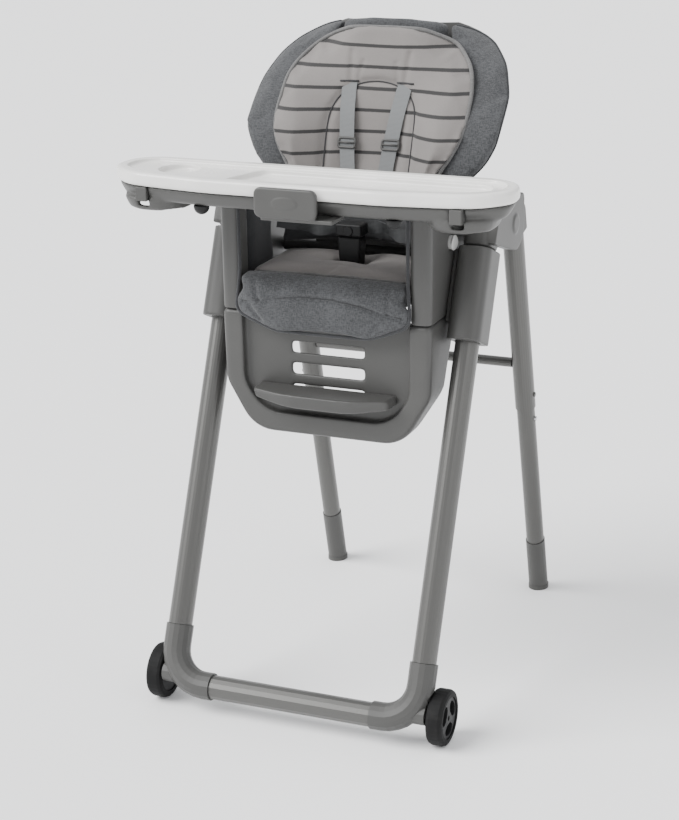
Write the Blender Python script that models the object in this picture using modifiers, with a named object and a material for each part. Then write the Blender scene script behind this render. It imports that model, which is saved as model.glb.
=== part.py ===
"""Baby high chair on a folding A-frame.

The seat slides on the two front legs, the tray slides on the armrests, the back reclines and the
rear legs fold forward.  Metres, +Z up, the child faces -Y, and the origin is on the floor under
the middle of the chair.  Pieces are made for the +X side and for the -X side by the same function.
"""

import math

import bmesh
import bpy
from mathutils import Matrix, Vector

# ---------------------------------------------------------------- clearances
GAP = 0.0003            # between two pieces that touch
RUN = 0.0005            # radial room of a sliding or turning fit
SIDES = ((1, "left"), (-1, "right"))   # the child's left hand is at +X

# ---------------------------------------------------------------- A-frame
LEG_X = 0.222           # half the spacing of the front legs
FRONT_LEAN = math.radians(23.25)
REAR_LEAN = math.radians(14.2)
FRONT_FOOT_Y = -0.3737  # where the front leg's line meets the floor
REAR_FOOT_Y = 0.3553
REAR_INSET = 0.011      # rear legs stand this much further in than the front ones
TUBE_W, TUBE_D = 0.040, 0.046      # front leg's oval section
REAR_W, REAR_D = 0.037, 0.042      # rear leg, upper tube
LOWER_W, LOWER_D = 0.033, 0.037    # rear leg, lower tube
TUBE_WALL = 0.0015
LEG_TOP_Z = 0.800
LEG_SEAM_Z = 0.1360     # front leg to corner moulding
REAR_SEAM_Z = 0.3985    # upper to lower rear tube
SPIGOT = 0.050          # length of lower tube inside the upper one
CAP_Z = 0.109           # top of the rear foot cap
CAP_WALL = 0.0015
PAD_T = 0.008           # flat sole of the foot cap
RIVET_Z, RIVET_R, RIVET_PROUD = 0.4256, 0.0045, 0.0022
SNAP_Z, SNAP_R, SNAP_PROUD = 0.3755, 0.0042, 0.0034
CROSSBAR_Z, CROSSBAR_R = 0.4876, 0.009
BASE_Z = 0.047          # centre of the floor tube between the front legs
MOULD_R, BASE_R = 0.0235, 0.0205
MOULD_BEND = 0.060
BASE_HALF = 0.145       # half the length of the floor tube

# ---------------------------------------------------------------- wheels
WHEEL_R, WHEEL_T = 0.047, 0.028
WHEEL_BEHIND = 0.033    # axle behind the floor tube
WHEEL_OUT = 0.018       # inner face of the wheel outside the leg's centre line
TYRE_WALL = 0.012
AXLE_R = 0.004

# ---------------------------------------------------------------- rear fold
HINGE_Y, HINGE_Z = 0.045, 0.790
PIN_R = 0.006
COLLAR_Z = 0.7665       # underside of the housing's collar on the leg
COLLAR_TOP_Z = 0.832
COLLAR_W, COLLAR_D = 0.049, 0.062
LOBE_R, LOBE_T = 0.045, 0.023
ARM_R = 0.037
ARM_FOOT_Z = 0.745      # where the hinge arm meets the rear tube
CAP_R = 0.016           # raised disc over the pivot

# ---------------------------------------------------------------- seat shell
SHELL_HALF = LEG_X - 0.036         # outer face of the side fairings
SHELL_FRONT_Y = -0.186
SHELL_WALL = 0.006
SHELL_BOTTOM_Z = 0.455
SHELL_SEAM_Z = 0.6650
ARM_TOP_Z = 0.846
RING_W = 0.036          # width of the front ring and of its pillars
RING_DEEP = 0.014       # recess of the front panel behind the ring's face
TRIM_TOP = (0.022, 0.846)          # (y, z) of the slanted rear edge of the fairings
TRIM_BOTTOM = (-0.150, 0.450)
SLOT_HALF, SLOT_H, SLOT_PITCH, SLOT_TOP_Z = 0.0645, 0.018, 0.037, 0.614
BUCKET_WALL, BUCKET_GAP = 0.006, 0.001
FLOOR_Z = 0.696         # top of the seat's floor
BUCKET_LOW_Z = 0.655
BUCKET_FRONT_Y, BUCKET_REAR_Y = -0.149, 0.066
ARMREST_T, ARMREST_W = 0.016, 0.048
BUTTON_R, BUTTON_Y, BUTTON_Z, BUTTON_TRAVEL = 0.0115, -0.087, 0.784, 0.003

# ---------------------------------------------------------------- height sleeves
SLEEVE_W, SLEEVE_D = 0.058, 0.084
SLEEVE_Z = (0.622, 0.7650)
LEVER_W, LEVER_L, LEVER_PROUD, LEVER_TRAVEL = 0.022, 0.074, 0.012, 0.006

# ---------------------------------------------------------------- tray
TRAY_OVERHANG = 0.121   # the tray reaches this far beyond a front leg's centre line
TRAY_HALF = LEG_X + TRAY_OVERHANG
TRAY_FRONT_Y, TRAY_REAR_Y = -0.318, -0.160
TRAY_END_DEEP = 0.030   # the front edge stands this much further back at the ends
TRAY_SEAM_Z, RIM_TOP_Z, WELL_Z, ISLAND_Z = 0.889, 0.912, 0.8975, 0.906
TRAY_LOW_Z, BELLY_Z = 0.8640, 0.847
RIM_W = 0.020
TRAY_STEP, TRAY_TAPER = 0.003, 0.014   # the grey base stands in from the insert and narrows downwards
BELLY_X = SHELL_HALF + 0.075           # middle of the deeper part of the base, outside an armrest
BELLY_W, BELLY_D = 0.118, 0.126
CUP_R, CUP_Y = 0.034, -0.222
CUP_X = -(TRAY_HALF - 0.107)
HANDLE_W, HANDLE_H, HANDLE_Z = 0.106, 0.048, 0.8855
LIP_LEFT, LIP_RIGHT = 0.043, 0.078     # ends of the finger lip under the handle
BADGE_W, BADGE_H = 0.042, 0.018    # plain raised oval on the handle
KNOB_X, KNOB_Y = SHELL_HALF - 0.021, TRAY_FRONT_Y + 0.030
CLIP_X, CLIP_W = TRAY_HALF - 0.075, 0.020

# ---------------------------------------------------------------- back and padding
PIVOT_Y, PIVOT_Z = 0.045, 0.725    # recline axle
RECLINE = math.radians(18.3)
BACK_LOW_Z = 0.748
BACK_TOP_Z = 1.118
BACK_HALF = 0.233
BACK_WIDEST_Z = 0.965
TOP_POWER = 2.25        # above 2, the top of the back is blunter than an ellipse
TOP_THIN = 0.010        # the cover is this much thinner at its top edge
PANEL_HALF = 0.097      # seam between the middle panel and a wing
WING_LOW_Z = 0.866      # just above the armrests
INSERT_HALF = 0.178
INSERT_TOP_Z = 1.107
INSERT_FRONT_Y = 0.036  # front of the insert at INSERT_REF_Z, on the middle line
INSERT_REF_Z = 0.9025
INSERT_T, COVER_T, BACK_SHELL_T = 0.022, 0.030, 0.006
LAYER_GAP = 0.0040      # between the back's layers, which share one dished surface
STRAP_W, STRAP_T, STRAP_X = 0.026, 0.0018, 0.042
STRAP_TOP_Z, STRAP_LOW_Z = 1.014, 0.805
POST_Y, POST_TOP_Z = -0.060, 0.775
BUCKLE_HALF = 0.0235


# ================================================================ tools
def clear_scene():
    for old in list(bpy.data.objects):
        bpy.data.objects.remove(old, do_unlink=True)


def new_collection(name):
    group = bpy.data.collections.new(name)
    bpy.context.scene.collection.children.link(group)
    return group


clear_scene()
PARTS = new_collection("baby_high_chair")
CUTTERS = new_collection("cutters")
MATERIALS = {}


def material(name, colour, roughness, metallic=0.0):
    """A Principled BSDF material, made once for each name."""
    if name not in MATERIALS:
        made = bpy.data.materials.new(name)
        made.use_nodes = True
        shader = made.node_tree.nodes["Principled BSDF"]
        shader.inputs["Base Color"].default_value = (*colour, 1.0)
        shader.inputs["Roughness"].default_value = roughness
        shader.inputs["Metallic"].default_value = metallic
        made.diffuse_color = (*colour, 1.0)
        MATERIALS[name] = made
    return MATERIALS[name]


SHELL_GREY = ("shell_grey_plastic", (0.125, 0.125, 0.118), 0.45)
FRAME_PAINT = ("frame_grey_paint", (0.135, 0.135, 0.128), 0.32, 0.6)
DARK_PLASTIC = ("dark_plastic", (0.03, 0.03, 0.032), 0.5)
LIGHT_PLASTIC = ("light_grey_plastic", (0.55, 0.55, 0.53), 0.4)
TRAY_WHITE = ("tray_white_plastic", (0.83, 0.82, 0.79), 0.3)
RUBBER = ("black_rubber", (0.012, 0.012, 0.013), 0.7)
STEEL = ("steel", (0.55, 0.55, 0.56), 0.3, 1.0)
CHARCOAL = ("charcoal_heather", (0.12, 0.13, 0.145), 0.9)
TAUPE = ("taupe_fabric", (0.42, 0.38, 0.36), 0.9)
WEBBING = ("grey_webbing", (0.36, 0.38, 0.385), 0.8)
LINING = ("dark_lining", (0.03, 0.033, 0.04), 0.9)


def add(name, mesh, finish, cutter=False):
    """Put a mesh in the scene as a named part, or as a hidden cutter."""
    made = bpy.data.objects.new(name, mesh)
    if cutter:
        CUTTERS.objects.link(made)
        made.hide_render = True
        made.display_type = "WIRE"
    else:
        PARTS.objects.link(made)
        mesh.materials.append(material(*finish))
    return made


def from_bmesh(name, bm, finish=None, cutter=False):
    bmesh.ops.recalc_face_normals(bm, faces=bm.faces)
    mesh = bpy.data.meshes.new(name)
    bm.to_mesh(mesh)
    bm.free()
    return add(name, mesh, finish, cutter)


def shade(part, angle=35.0):
    """Smooth shading that keeps edges sharper than the angle."""
    part.data.shade_smooth()
    part.data.set_sharp_from_angle(angle=math.radians(angle))
    return part


def soften(part, width, segments=2, angle=40.0):
    """Round a part's edges that are sharper than the angle."""
    edge = part.modifiers.new("rounded_edges", "BEVEL")
    edge.width = width
    edge.segments = segments
    edge.limit_method = "ANGLE"
    edge.angle_limit = math.radians(angle)
    return part


def cut(part, cutter, operation="DIFFERENCE"):
    """Cut a part with a cutter, or join or keep what they share; the cutter is hidden."""
    change = part.modifiers.new(operation.lower(), "BOOLEAN")
    change.operation = operation
    change.solver = "EXACT"
    change.object = cutter
    return part


# Frames for prisms: the outline's two axes and the direction that it is extruded along.
ALONG_X = Matrix(((0, 0, 1, 0), (1, 0, 0, 0), (0, 1, 0, 0), (0, 0, 0, 1)))      # (y, z), along X
ALONG_Y = Matrix(((1, 0, 0, 0), (0, 0, -1, 0), (0, 1, 0, 0), (0, 0, 0, 1)))     # (x, z), along -Y
ALONG_Z = Matrix.Identity(4)                                                     # (x, y), along Z


def prism(name, outlines, thickness, place, finish=None, cutter=False):
    """A flat outline, with any inner outlines as holes, extruded by a thickness about its plane."""
    curve = bpy.data.curves.new(name, "CURVE")
    curve.dimensions = "2D"
    curve.fill_mode = "BOTH"
    curve.extrude = thickness / 2.0
    for outline in outlines:
        spline = curve.splines.new("POLY")
        spline.points.add(len(outline) - 1)
        for point, (a, b) in zip(spline.points, outline):
            point.co = (a, b, 0.0, 1.0)
        spline.use_cyclic_u = True
    flat = bpy.data.objects.new(name + "_outline", curve)
    CUTTERS.objects.link(flat)
    depsgraph = bpy.context.evaluated_depsgraph_get()
    mesh = bpy.data.meshes.new_from_object(flat.evaluated_get(depsgraph))
    bpy.data.objects.remove(flat, do_unlink=True)
    bm = bmesh.new()
    bm.from_mesh(mesh)
    bmesh.ops.remove_doubles(bm, verts=bm.verts, dist=1e-6)
    bmesh.ops.dissolve_limit(bm, angle_limit=0.001, verts=bm.verts, edges=bm.edges)
    bmesh.ops.transform(bm, matrix=place, verts=bm.verts)
    bpy.data.meshes.remove(mesh)
    return from_bmesh(name, bm, finish, cutter)


def slab(name, outlines, low, high, axis, finish=None, cutter=False):
    """A prism between two positions along a world axis."""
    frame = {"X": ALONG_X, "Y": ALONG_Y, "Z": ALONG_Z}[axis]
    middle = {"X": (1, 0, 0), "Y": (0, 1, 0), "Z": (0, 0, 1)}[axis]
    shift = Matrix.Translation(Vector(middle) * (low + high) / 2.0)
    return prism(name, outlines, high - low, shift @ frame, finish, cutter)


def block(name, low, high, finish=None, cutter=False):
    """A box between two corners."""
    bm = bmesh.new()
    size = Vector(high) - Vector(low)
    centre = (Vector(high) + Vector(low)) / 2.0
    bmesh.ops.create_cube(bm, size=1.0)
    bmesh.ops.scale(bm, vec=size, verts=bm.verts)
    bmesh.ops.translate(bm, vec=centre, verts=bm.verts)
    return from_bmesh(name, bm, finish, cutter)


def cylinder(name, radius, low, high, axis, centre, finish=None, cutter=False, segments=24):
    """A cylinder along a world axis; centre gives its other two coordinates."""
    bm = bmesh.new()
    bmesh.ops.create_cone(bm, cap_ends=True, segments=segments, radius1=radius, radius2=radius,
                          depth=high - low)
    frame = {"X": ALONG_X, "Y": ALONG_Y, "Z": ALONG_Z}[axis]
    along = (low + high) / 2.0
    place = {"X": (along, centre[0], centre[1]), "Y": (centre[0], along, centre[1]),
             "Z": (centre[0], centre[1], along)}[axis]
    bmesh.ops.transform(bm, matrix=Matrix.Translation(place) @ frame, verts=bm.verts)
    return from_bmesh(name, bm, finish, cutter)


def oval(width, depth, steps=28):
    """An ellipse outline."""
    turns = [2.0 * math.pi * k / steps for k in range(steps)]
    return [(width / 2.0 * math.cos(t), depth / 2.0 * math.sin(t)) for t in turns]


def rounded(corners, steps=6):
    """Outline with round corners: each corner is (a, b) or (a, b, radius)."""
    outline = []
    count = len(corners)
    for k, corner in enumerate(corners):
        here = Vector(corner[:2])
        radius = corner[2] if len(corner) > 2 else 0.0
        before = (Vector(corners[k - 1][:2]) - here).normalized()
        after = (Vector(corners[(k + 1) % count][:2]) - here).normalized()
        half = before.angle(after) / 2.0
        if radius <= 0.0 or half > math.radians(89.0):
            outline.append(tuple(here))
            continue
        reach = radius / math.tan(half)
        centre = here + (before + after).normalized() * radius / math.sin(half)
        start = here + before * reach - centre
        sweep = start.angle_signed(here + after * reach - centre)
        for step in range(steps + 1):
            turned = Matrix.Rotation(-sweep * step / steps, 2) @ start
            outline.append(tuple(centre + turned))
    return outline


def box_outline(width, height, radius, centre=(0.0, 0.0), steps=6):
    a, b = width / 2.0, height / 2.0
    corners = [(centre[0] + sx * a, centre[1] + sz * b, radius)
               for sx, sz in ((1, -1), (1, 1), (-1, 1), (-1, -1))]
    return rounded(corners, steps)


def mirrored(half):
    """Close a half outline, given from the middle out to +a and back, with its mirror image."""
    return half + [(-corner[0], *corner[1:]) for corner in reversed(half)]


def turned(name, profile, place, finish, steps=36):
    """A closed (radius, height) profile turned about an axis; the outer side runs downwards."""
    mesh = bpy.data.meshes.new(name)
    bm = bmesh.new()
    corners = [bm.verts.new((radius, 0.0, height)) for radius, height in profile]
    for k, corner in enumerate(corners):
        bm.edges.new((corners[k - 1], corner))
    bm.to_mesh(mesh)
    bm.free()
    made = add(name, mesh, finish)
    made.matrix_world = place
    lathe = made.modifiers.new("lathe", "SCREW")
    lathe.axis = "Z"
    lathe.steps = steps
    lathe.render_steps = steps
    lathe.use_merge_vertices = True
    lathe.merge_threshold = 0.00005
    return made


def pipe(name, points, radius, finish=None, cutter=False, resolution=6):
    """A round bar along a line of points, as a closed mesh."""
    curve = bpy.data.curves.new(name, "CURVE")
    curve.dimensions = "3D"
    curve.bevel_depth = radius
    curve.bevel_resolution = resolution
    curve.use_fill_caps = True
    spline = curve.splines.new("POLY")
    spline.points.add(len(points) - 1)
    for point, place in zip(spline.points, points):
        point.co = (*place, 1.0)
    bar = bpy.data.objects.new(name + "_path", curve)
    CUTTERS.objects.link(bar)
    depsgraph = bpy.context.evaluated_depsgraph_get()
    mesh = bpy.data.meshes.new_from_object(bar.evaluated_get(depsgraph))
    bpy.data.objects.remove(bar, do_unlink=True)
    bm = bmesh.new()
    bm.from_mesh(mesh)
    bmesh.ops.remove_doubles(bm, verts=bm.verts, dist=1e-6)
    bpy.data.meshes.remove(mesh)
    return from_bmesh(name, bm, finish, cutter)


def bend(start, corner, end, radius, steps=8):
    """Points from start to end with a round turn at the corner."""
    before = (start - corner).normalized()
    after = (end - corner).normalized()
    half = before.angle(after) / 2.0
    reach = radius / math.tan(half)
    centre = corner + (before + after).normalized() * radius / math.sin(half)
    arm = corner + before * reach - centre
    axis = arm.cross(corner + after * reach - centre).normalized()
    sweep = arm.angle(corner + after * reach - centre)
    arc = [centre + Matrix.Rotation(sweep * k / steps, 3, axis) @ arm for k in range(steps + 1)]
    return [start] + arc + [end]


def joint_empty(name, place):
    """An empty on a joint's axis, which the joint's moving pieces hang on."""
    made = bpy.data.objects.new(name, None)
    PARTS.objects.link(made)
    made.location = place
    return made


def hang(empty, *pieces):
    """Parent pieces to an empty, where they stand."""
    bpy.context.view_layer.update()
    for piece in pieces:
        piece.parent = empty
        piece.matrix_parent_inverse = empty.matrix_world.inverted()


# ================================================================ frame geometry
def front_y(z):
    return FRONT_FOOT_Y + math.tan(FRONT_LEAN) * z


def rear_y(z):
    return REAR_FOOT_Y - math.tan(REAR_LEAN) * z


FRONT_UP = Vector((0.0, math.sin(FRONT_LEAN), math.cos(FRONT_LEAN)))
FRONT_BACK = Vector((0.0, math.cos(FRONT_LEAN), -math.sin(FRONT_LEAN)))
REAR_UP = Vector((0.0, -math.sin(REAR_LEAN), math.cos(REAR_LEAN)))
REAR_BACK = Vector((0.0, math.cos(REAR_LEAN), math.sin(REAR_LEAN)))
REAR_X = LEG_X - REAR_INSET
WHEEL_X = LEG_X + WHEEL_OUT + WHEEL_T / 2.0
WHEEL_Y = front_y(BASE_Z) + WHEEL_BEHIND


def on_front(side, z):
    return Vector((side * LEG_X, front_y(z), z))


def on_rear(side, z):
    return Vector((side * REAR_X, rear_y(z), z))


def front_frame(side, z):
    """Axes at a front leg's centre: X across, Y rearwards and square to the leg, Z up the leg."""
    return Matrix.Translation(on_front(side, z)) @ Matrix.Rotation(-FRONT_LEAN, 4, "X")


def rear_frame(side, z):
    return Matrix.Translation(on_rear(side, z)) @ Matrix.Rotation(REAR_LEAN, 4, "X")


def tube_along(name, place, width, depth, low, high, finish, wall=TUBE_WALL):
    """An oval tube about a leg's axes, between two distances along it."""
    outlines = [oval(width, depth), oval(width - 2 * wall, depth - 2 * wall)]
    middle = place @ Matrix.Translation((0.0, 0.0, (low + high) / 2.0))
    return shade(prism(name, outlines, high - low, middle, finish))


def front_leg(side, label):
    place = front_frame(side, LEG_SEAM_Z)
    length = (LEG_TOP_Z - LEG_SEAM_Z) / math.cos(FRONT_LEAN)
    return tube_along(f"front_leg_{label}", place, TUBE_W, TUBE_D, GAP, length - GAP, FRAME_PAINT)


def corner_moulding(side, label):
    """Bent socket from a front leg to the floor tube, with the boss and stub axle of a wheel."""
    start = on_front(side, LEG_SEAM_Z) - FRONT_UP * GAP
    corner = on_front(side, BASE_Z)
    end = Vector((side * (BASE_HALF + GAP), corner.y, BASE_Z))
    name = f"corner_moulding_{label}"
    part = shade(pipe(name, bend(start, corner, end, MOULD_BEND), MOULD_R, SHELL_GREY))
    inner = side * (LEG_X - 0.010)
    outer = side * (LEG_X + WHEEL_OUT - 0.0025)
    tube_end = (corner.y + 0.007, BASE_Z + 0.012)
    boss_r = 0.017
    angle = math.atan2(tube_end[1] - WHEEL_R, tube_end[0] - WHEEL_Y)
    turns = [angle - math.pi / 2 + math.pi * k / 10 for k in range(11)]
    boss = [(tube_end[0] + boss_r * math.cos(t), tube_end[1] + boss_r * math.sin(t)) for t in turns]
    boss += [(WHEEL_Y - boss_r * math.cos(t), WHEEL_R - boss_r * math.sin(t)) for t in turns]
    lug = slab(name + "_boss", [boss], min(inner, outer), max(inner, outer), "X", cutter=True)
    cut(part, lug, "UNION")
    arch = sorted((side * (LEG_X + WHEEL_OUT - 2 * RUN), side * (LEG_X + WHEEL_OUT + WHEEL_T)))
    room = cylinder(name + "_wheel_arch", WHEEL_R + 0.003, *arch, "X", (WHEEL_Y, WHEEL_R), cutter=True,
                    segments=40)
    cut(part, room)
    tip = side * (WHEEL_X + WHEEL_T / 2.0 - 0.0045)
    axle = cylinder(name + "_axle", AXLE_R, min(inner, tip), max(inner, tip), "X", (WHEEL_Y, WHEEL_R),
                    cutter=True)
    return cut(part, axle, "UNION")


def floor_tube():
    y = front_y(BASE_Z)
    ends = [Vector((x, y, BASE_Z)) for x in (-BASE_HALF, -BASE_HALF / 2, BASE_HALF / 2, BASE_HALF)]
    return shade(pipe("floor_tube", ends, BASE_R, FRAME_PAINT))


def wheel(side, label):
    """Tyre and hub, which turn together on the moulding's stub axle."""
    outwards = Matrix.Rotation(side * math.pi / 2, 4, "Y")
    place = Matrix.Translation((side * WHEEL_X, WHEEL_Y, WHEEL_R)) @ outwards
    half, inner = WHEEL_T / 2.0, WHEEL_R - TYRE_WALL
    shoulder = 0.006
    tread = [(WHEEL_R - shoulder, half), (WHEEL_R - 0.0018, half - 0.0018), (WHEEL_R, half - shoulder),
             (WHEEL_R, shoulder - half), (WHEEL_R - 0.0018, 0.0018 - half), (WHEEL_R - shoulder, -half),
             (inner, -half), (inner, half)]
    tyre = shade(turned(f"tyre_{label}", tread, place, RUBBER))
    rim, bore = inner - GAP, AXLE_R + RUN
    face = half - 0.002
    hub_profile = [(bore, face), (rim, face), (rim, -face), (bore, -face)]
    hub = shade(turned(f"wheel_hub_{label}", hub_profile, place, SHELL_GREY))
    for k in range(3):
        spin = Matrix.Rotation(2 * math.pi * k / 3 + math.pi / 6, 4, "Z")
        reach = Matrix.Translation((0.0, rim * 0.58, face))
        pocket = prism(f"hub_pocket_{label}_{k}", [oval(rim * 0.95, rim * 0.58)], 0.016,
                       place @ spin @ reach, cutter=True)
        cut(hub, pocket)
    return tyre, hub


def hinge_housing(side, label):
    """Moulding on top of a front leg that reaches back to the pivot of the rear frame."""
    place = front_frame(side, COLLAR_Z)
    height = (COLLAR_TOP_Z - COLLAR_Z) / math.cos(FRONT_LEAN)
    name = f"hinge_housing_{label}"
    middle = place @ Matrix.Translation((0.0, 0.0, height / 2.0))
    part = prism(name, [box_outline(COLLAR_W, COLLAR_D, 0.018)], height, middle, SHELL_GREY)
    soften(part, 0.003)
    out = LEG_X + COLLAR_W / 2.0 + 0.0095
    leg_z = COLLAR_Z + 0.004
    low = on_front(1, leg_z) - FRONT_BACK * (COLLAR_D / 2 - 0.004)
    high = on_front(1, COLLAR_TOP_Z) - FRONT_BACK * (COLLAR_D / 2 - 0.004)
    rear = [(HINGE_Y, HINGE_Z - LOBE_R * 1.0, LOBE_R * 0.95), (HINGE_Y + LOBE_R, HINGE_Z - LOBE_R, LOBE_R * 0.9),
            (HINGE_Y + LOBE_R, COLLAR_TOP_Z + 0.006, 0.012)]
    web = [(low.y, low.z, 0.004), *rear, (high.y, COLLAR_TOP_Z + 0.006, 0.010)]
    x = sorted((side * (out - LOBE_T), side * out))
    lobe = slab(name + "_lobe", [rounded(web, 5)], x[0], x[1], "X", cutter=True)
    soften(lobe, 0.0025, 1)
    cut(part, lobe, "UNION")
    disc = cylinder(name + "_disc", CAP_R, *sorted((side * (out - 0.002), side * (out + 0.0025))), "X",
                    (HINGE_Y - 0.004, HINGE_Z + 0.002), cutter=True, segments=32)
    cut(part, soften(disc, 0.0008), "UNION")
    depth = (LEG_TOP_Z - COLLAR_Z) / math.cos(FRONT_LEAN)
    socket = prism(name + "_socket", [oval(TUBE_W + 2 * GAP, TUBE_D + 2 * GAP)], 2 * depth, place,
                   cutter=True)
    return shade(cut(part, socket))


LOBE_INNER_X = LEG_X + COLLAR_W / 2.0 + 0.0095 - LOBE_T


def hinge_pin(side, label):
    start, end = side * (REAR_X - REAR_W / 2.0), side * (LOBE_INNER_X - GAP)
    pin = cylinder(f"hinge_pin_{label}", PIN_R, min(start, end), max(start, end), "X",
                   (HINGE_Y, HINGE_Z), STEEL)
    return shade(pin)


def rear_hinge_arm(side, label):
    """Casting on top of a rear leg that turns on the hinge pin."""
    foot = on_rear(1, ARM_FOOT_Z) + REAR_UP * GAP
    half = REAR_D / 2.0
    front, back = foot - REAR_BACK * half, foot + REAR_BACK * half
    crown = back + REAR_UP * 0.050
    turns = [math.radians(a) for a in range(90, 301, 15)]
    disc = [(HINGE_Y + ARM_R * math.cos(t), HINGE_Z + ARM_R * math.sin(t)) for t in turns]
    neck = [(HINGE_Y + ARM_R * 0.95, HINGE_Z - ARM_R * 0.62)]
    outline = disc + rounded([(*disc[-1],), (*neck[0], 0.010), (front.y, front.z), (back.y, back.z),
                              (crown.y, crown.z, 0.020), (*disc[0],)])[1:-1]
    x = sorted((side * (REAR_X - REAR_W / 2.0), side * (LOBE_INNER_X - 4 * GAP)))
    part = slab(f"rear_hinge_arm_{label}", [outline], x[0], x[1], "X", SHELL_GREY)
    soften(part, 0.002)
    hole = cylinder(f"arm_hole_{label}", PIN_R + RUN, x[0] - 0.01, x[1] + 0.01, "X",
                    (HINGE_Y, HINGE_Z), cutter=True)
    return shade(cut(part, hole))


def rear_leg(side, label):
    """Upper tube with its rivet, lower tube, and foot cap of one rear leg."""
    upper_len = (ARM_FOOT_Z - REAR_SEAM_Z) / math.cos(REAR_LEAN)
    upper = tube_along(f"rear_leg_upper_{label}", rear_frame(side, REAR_SEAM_Z), REAR_W, REAR_D,
                       GAP, upper_len - GAP, FRAME_PAINT,
                       wall=(REAR_W - LOWER_W) / 2.0 - RUN)
    face = REAR_X + REAR_W / 2.0
    rivet = cylinder(f"leg_rivet_{label}", RIVET_R, *sorted((side * (face - 0.0012),
                     side * (face + RIVET_PROUD))), "X", (rear_y(RIVET_Z), RIVET_Z), cutter=True,
                     segments=20)
    cut(upper, soften(rivet, 0.0008), "UNION")
    lower_len = (REAR_SEAM_Z - CAP_Z) / math.cos(REAR_LEAN) + SPIGOT
    lower = tube_along(f"rear_leg_lower_{label}", rear_frame(side, CAP_Z), LOWER_W, LOWER_D,
                       GAP, lower_len, FRAME_PAINT)
    reach = sorted((side * (REAR_X + 0.005), side * (REAR_X + REAR_W)))
    hole = cylinder(f"snap_hole_{label}", SNAP_R + RUN, *reach, "X", (rear_y(SNAP_Z), SNAP_Z),
                    cutter=True, segments=20)
    cut(lower, hole)
    cap_w, cap_d = LOWER_W + 2 * CAP_WALL, LOWER_D + 2 * CAP_WALL
    drop = CAP_Z / math.cos(REAR_LEAN) + 0.03
    cap_place = rear_frame(side, CAP_Z) @ Matrix.Translation((0.0, 0.0, -drop / 2.0))
    cap = prism(f"rear_foot_cap_{label}", [oval(cap_w, cap_d)], drop, cap_place, SHELL_GREY)
    floor = block(f"foot_cut_{label}", (side * REAR_X - 0.1, REAR_FOOT_Y - 0.2, -0.2),
                  (side * REAR_X + 0.1, REAR_FOOT_Y + 0.2, 0.0), cutter=True)
    cut(cap, floor)
    sole = oval(cap_w + 0.002, cap_d / math.cos(REAR_LEAN) + 0.003)
    pad_place = Matrix.Translation((side * REAR_X, rear_y(PAD_T / 2.0), PAD_T / 2.0))
    pad = prism(f"rear_foot_sole_{label}", [sole], PAD_T, pad_place, cutter=True)
    cut(cap, pad, "UNION")
    return upper, lower, shade(cap)


def leg_snap_button(side, label):
    """Sprung pin in a hole of the lower tube that locks it to the upper one."""
    outer = REAR_X + LOWER_W / 2.0 + SNAP_PROUD
    inner = outer - 0.008
    part = cylinder(f"leg_snap_button_{label}", SNAP_R, *sorted((side * inner, side * outer)), "X",
                    (rear_y(SNAP_Z), SNAP_Z), STEEL, segments=20)
    return shade(soften(part, 0.0010))


def rear_crossbar():
    y = rear_y(CROSSBAR_Z)
    half = REAR_X - REAR_W / 2.0 - GAP
    bar = pipe("rear_crossbar", [Vector((-half, y, CROSSBAR_Z)), Vector((0.0, y, CROSSBAR_Z)),
                                 Vector((half, y, CROSSBAR_Z))], CROSSBAR_R, FRAME_PAINT)
    return shade(bar)


# ================================================================ seat
def trim_y(z):
    """The slanted rear edge of the fairings."""
    share = (z - TRIM_BOTTOM[1]) / (TRIM_TOP[1] - TRIM_BOTTOM[1])
    return TRIM_BOTTOM[0] + share * (TRIM_TOP[0] - TRIM_BOTTOM[0])


def rear_trim(name):
    low, high = SHELL_BOTTOM_Z - 0.05, ARM_TOP_Z + 0.05
    wedge = [(trim_y(low), low), (0.4, low), (0.4, high), (trim_y(high), high)]
    reach = SHELL_HALF + 0.05
    return slab(name, [wedge], -reach, reach, "X", cutter=True)


def fairing(side, label):
    """Front pillar, outer side wall and armrest in one moulding, above the shell's seam."""
    inner, outer = SHELL_HALF - RING_W, SHELL_HALF
    wall_x = outer - SHELL_WALL
    pillar_back = SHELL_FRONT_Y + RING_W
    rear = trim_y(ARM_TOP_Z) + 0.01
    plan = rounded([(inner, SHELL_FRONT_Y, 0.010), (outer, SHELL_FRONT_Y, 0.013), (outer, rear),
                    (wall_x, rear), (wall_x, pillar_back), (inner, pillar_back, 0.004)])
    if side < 0:
        plan = [(-x, y) for x, y in reversed(plan)]
    name = f"side_fairing_{label}"
    part = slab(name, [plan], SHELL_SEAM_Z + GAP, ARM_TOP_Z, "Z", SHELL_GREY)
    cut(part, rear_trim(name + "_trim"))
    hole = cylinder(name + "_button_hole", BUTTON_R + RUN, *sorted((side * (wall_x - 0.01),
                    side * (outer + 0.01))), "X", (BUTTON_Y, BUTTON_Z), cutter=True)
    cut(part, hole)
    rail_inner = inner - 0.002
    x = sorted((side * rail_inner, side * (rail_inner + ARMREST_W)))
    rail = block(name + "_armrest", (x[0], SHELL_FRONT_Y + 0.012, ARM_TOP_Z - 0.001),
                 (x[1], TRIM_TOP[0] - 0.016, ARM_TOP_Z + ARMREST_T), cutter=True)
    return shade(cut(part, soften(rail, 0.005, 3), "UNION"))


def seat_release_button(side, label):
    """Egg-shaped push button in the side fairing."""
    outer = SHELL_HALF + 0.0040
    inner = SHELL_HALF - SHELL_WALL + BUTTON_TRAVEL + GAP
    part = cylinder(f"seat_release_button_{label}", BUTTON_R, *sorted((side * inner, side * outer)),
                    "X", (BUTTON_Y, BUTTON_Z), LIGHT_PLASTIC, segments=28)
    return shade(soften(part, 0.0015))


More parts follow.
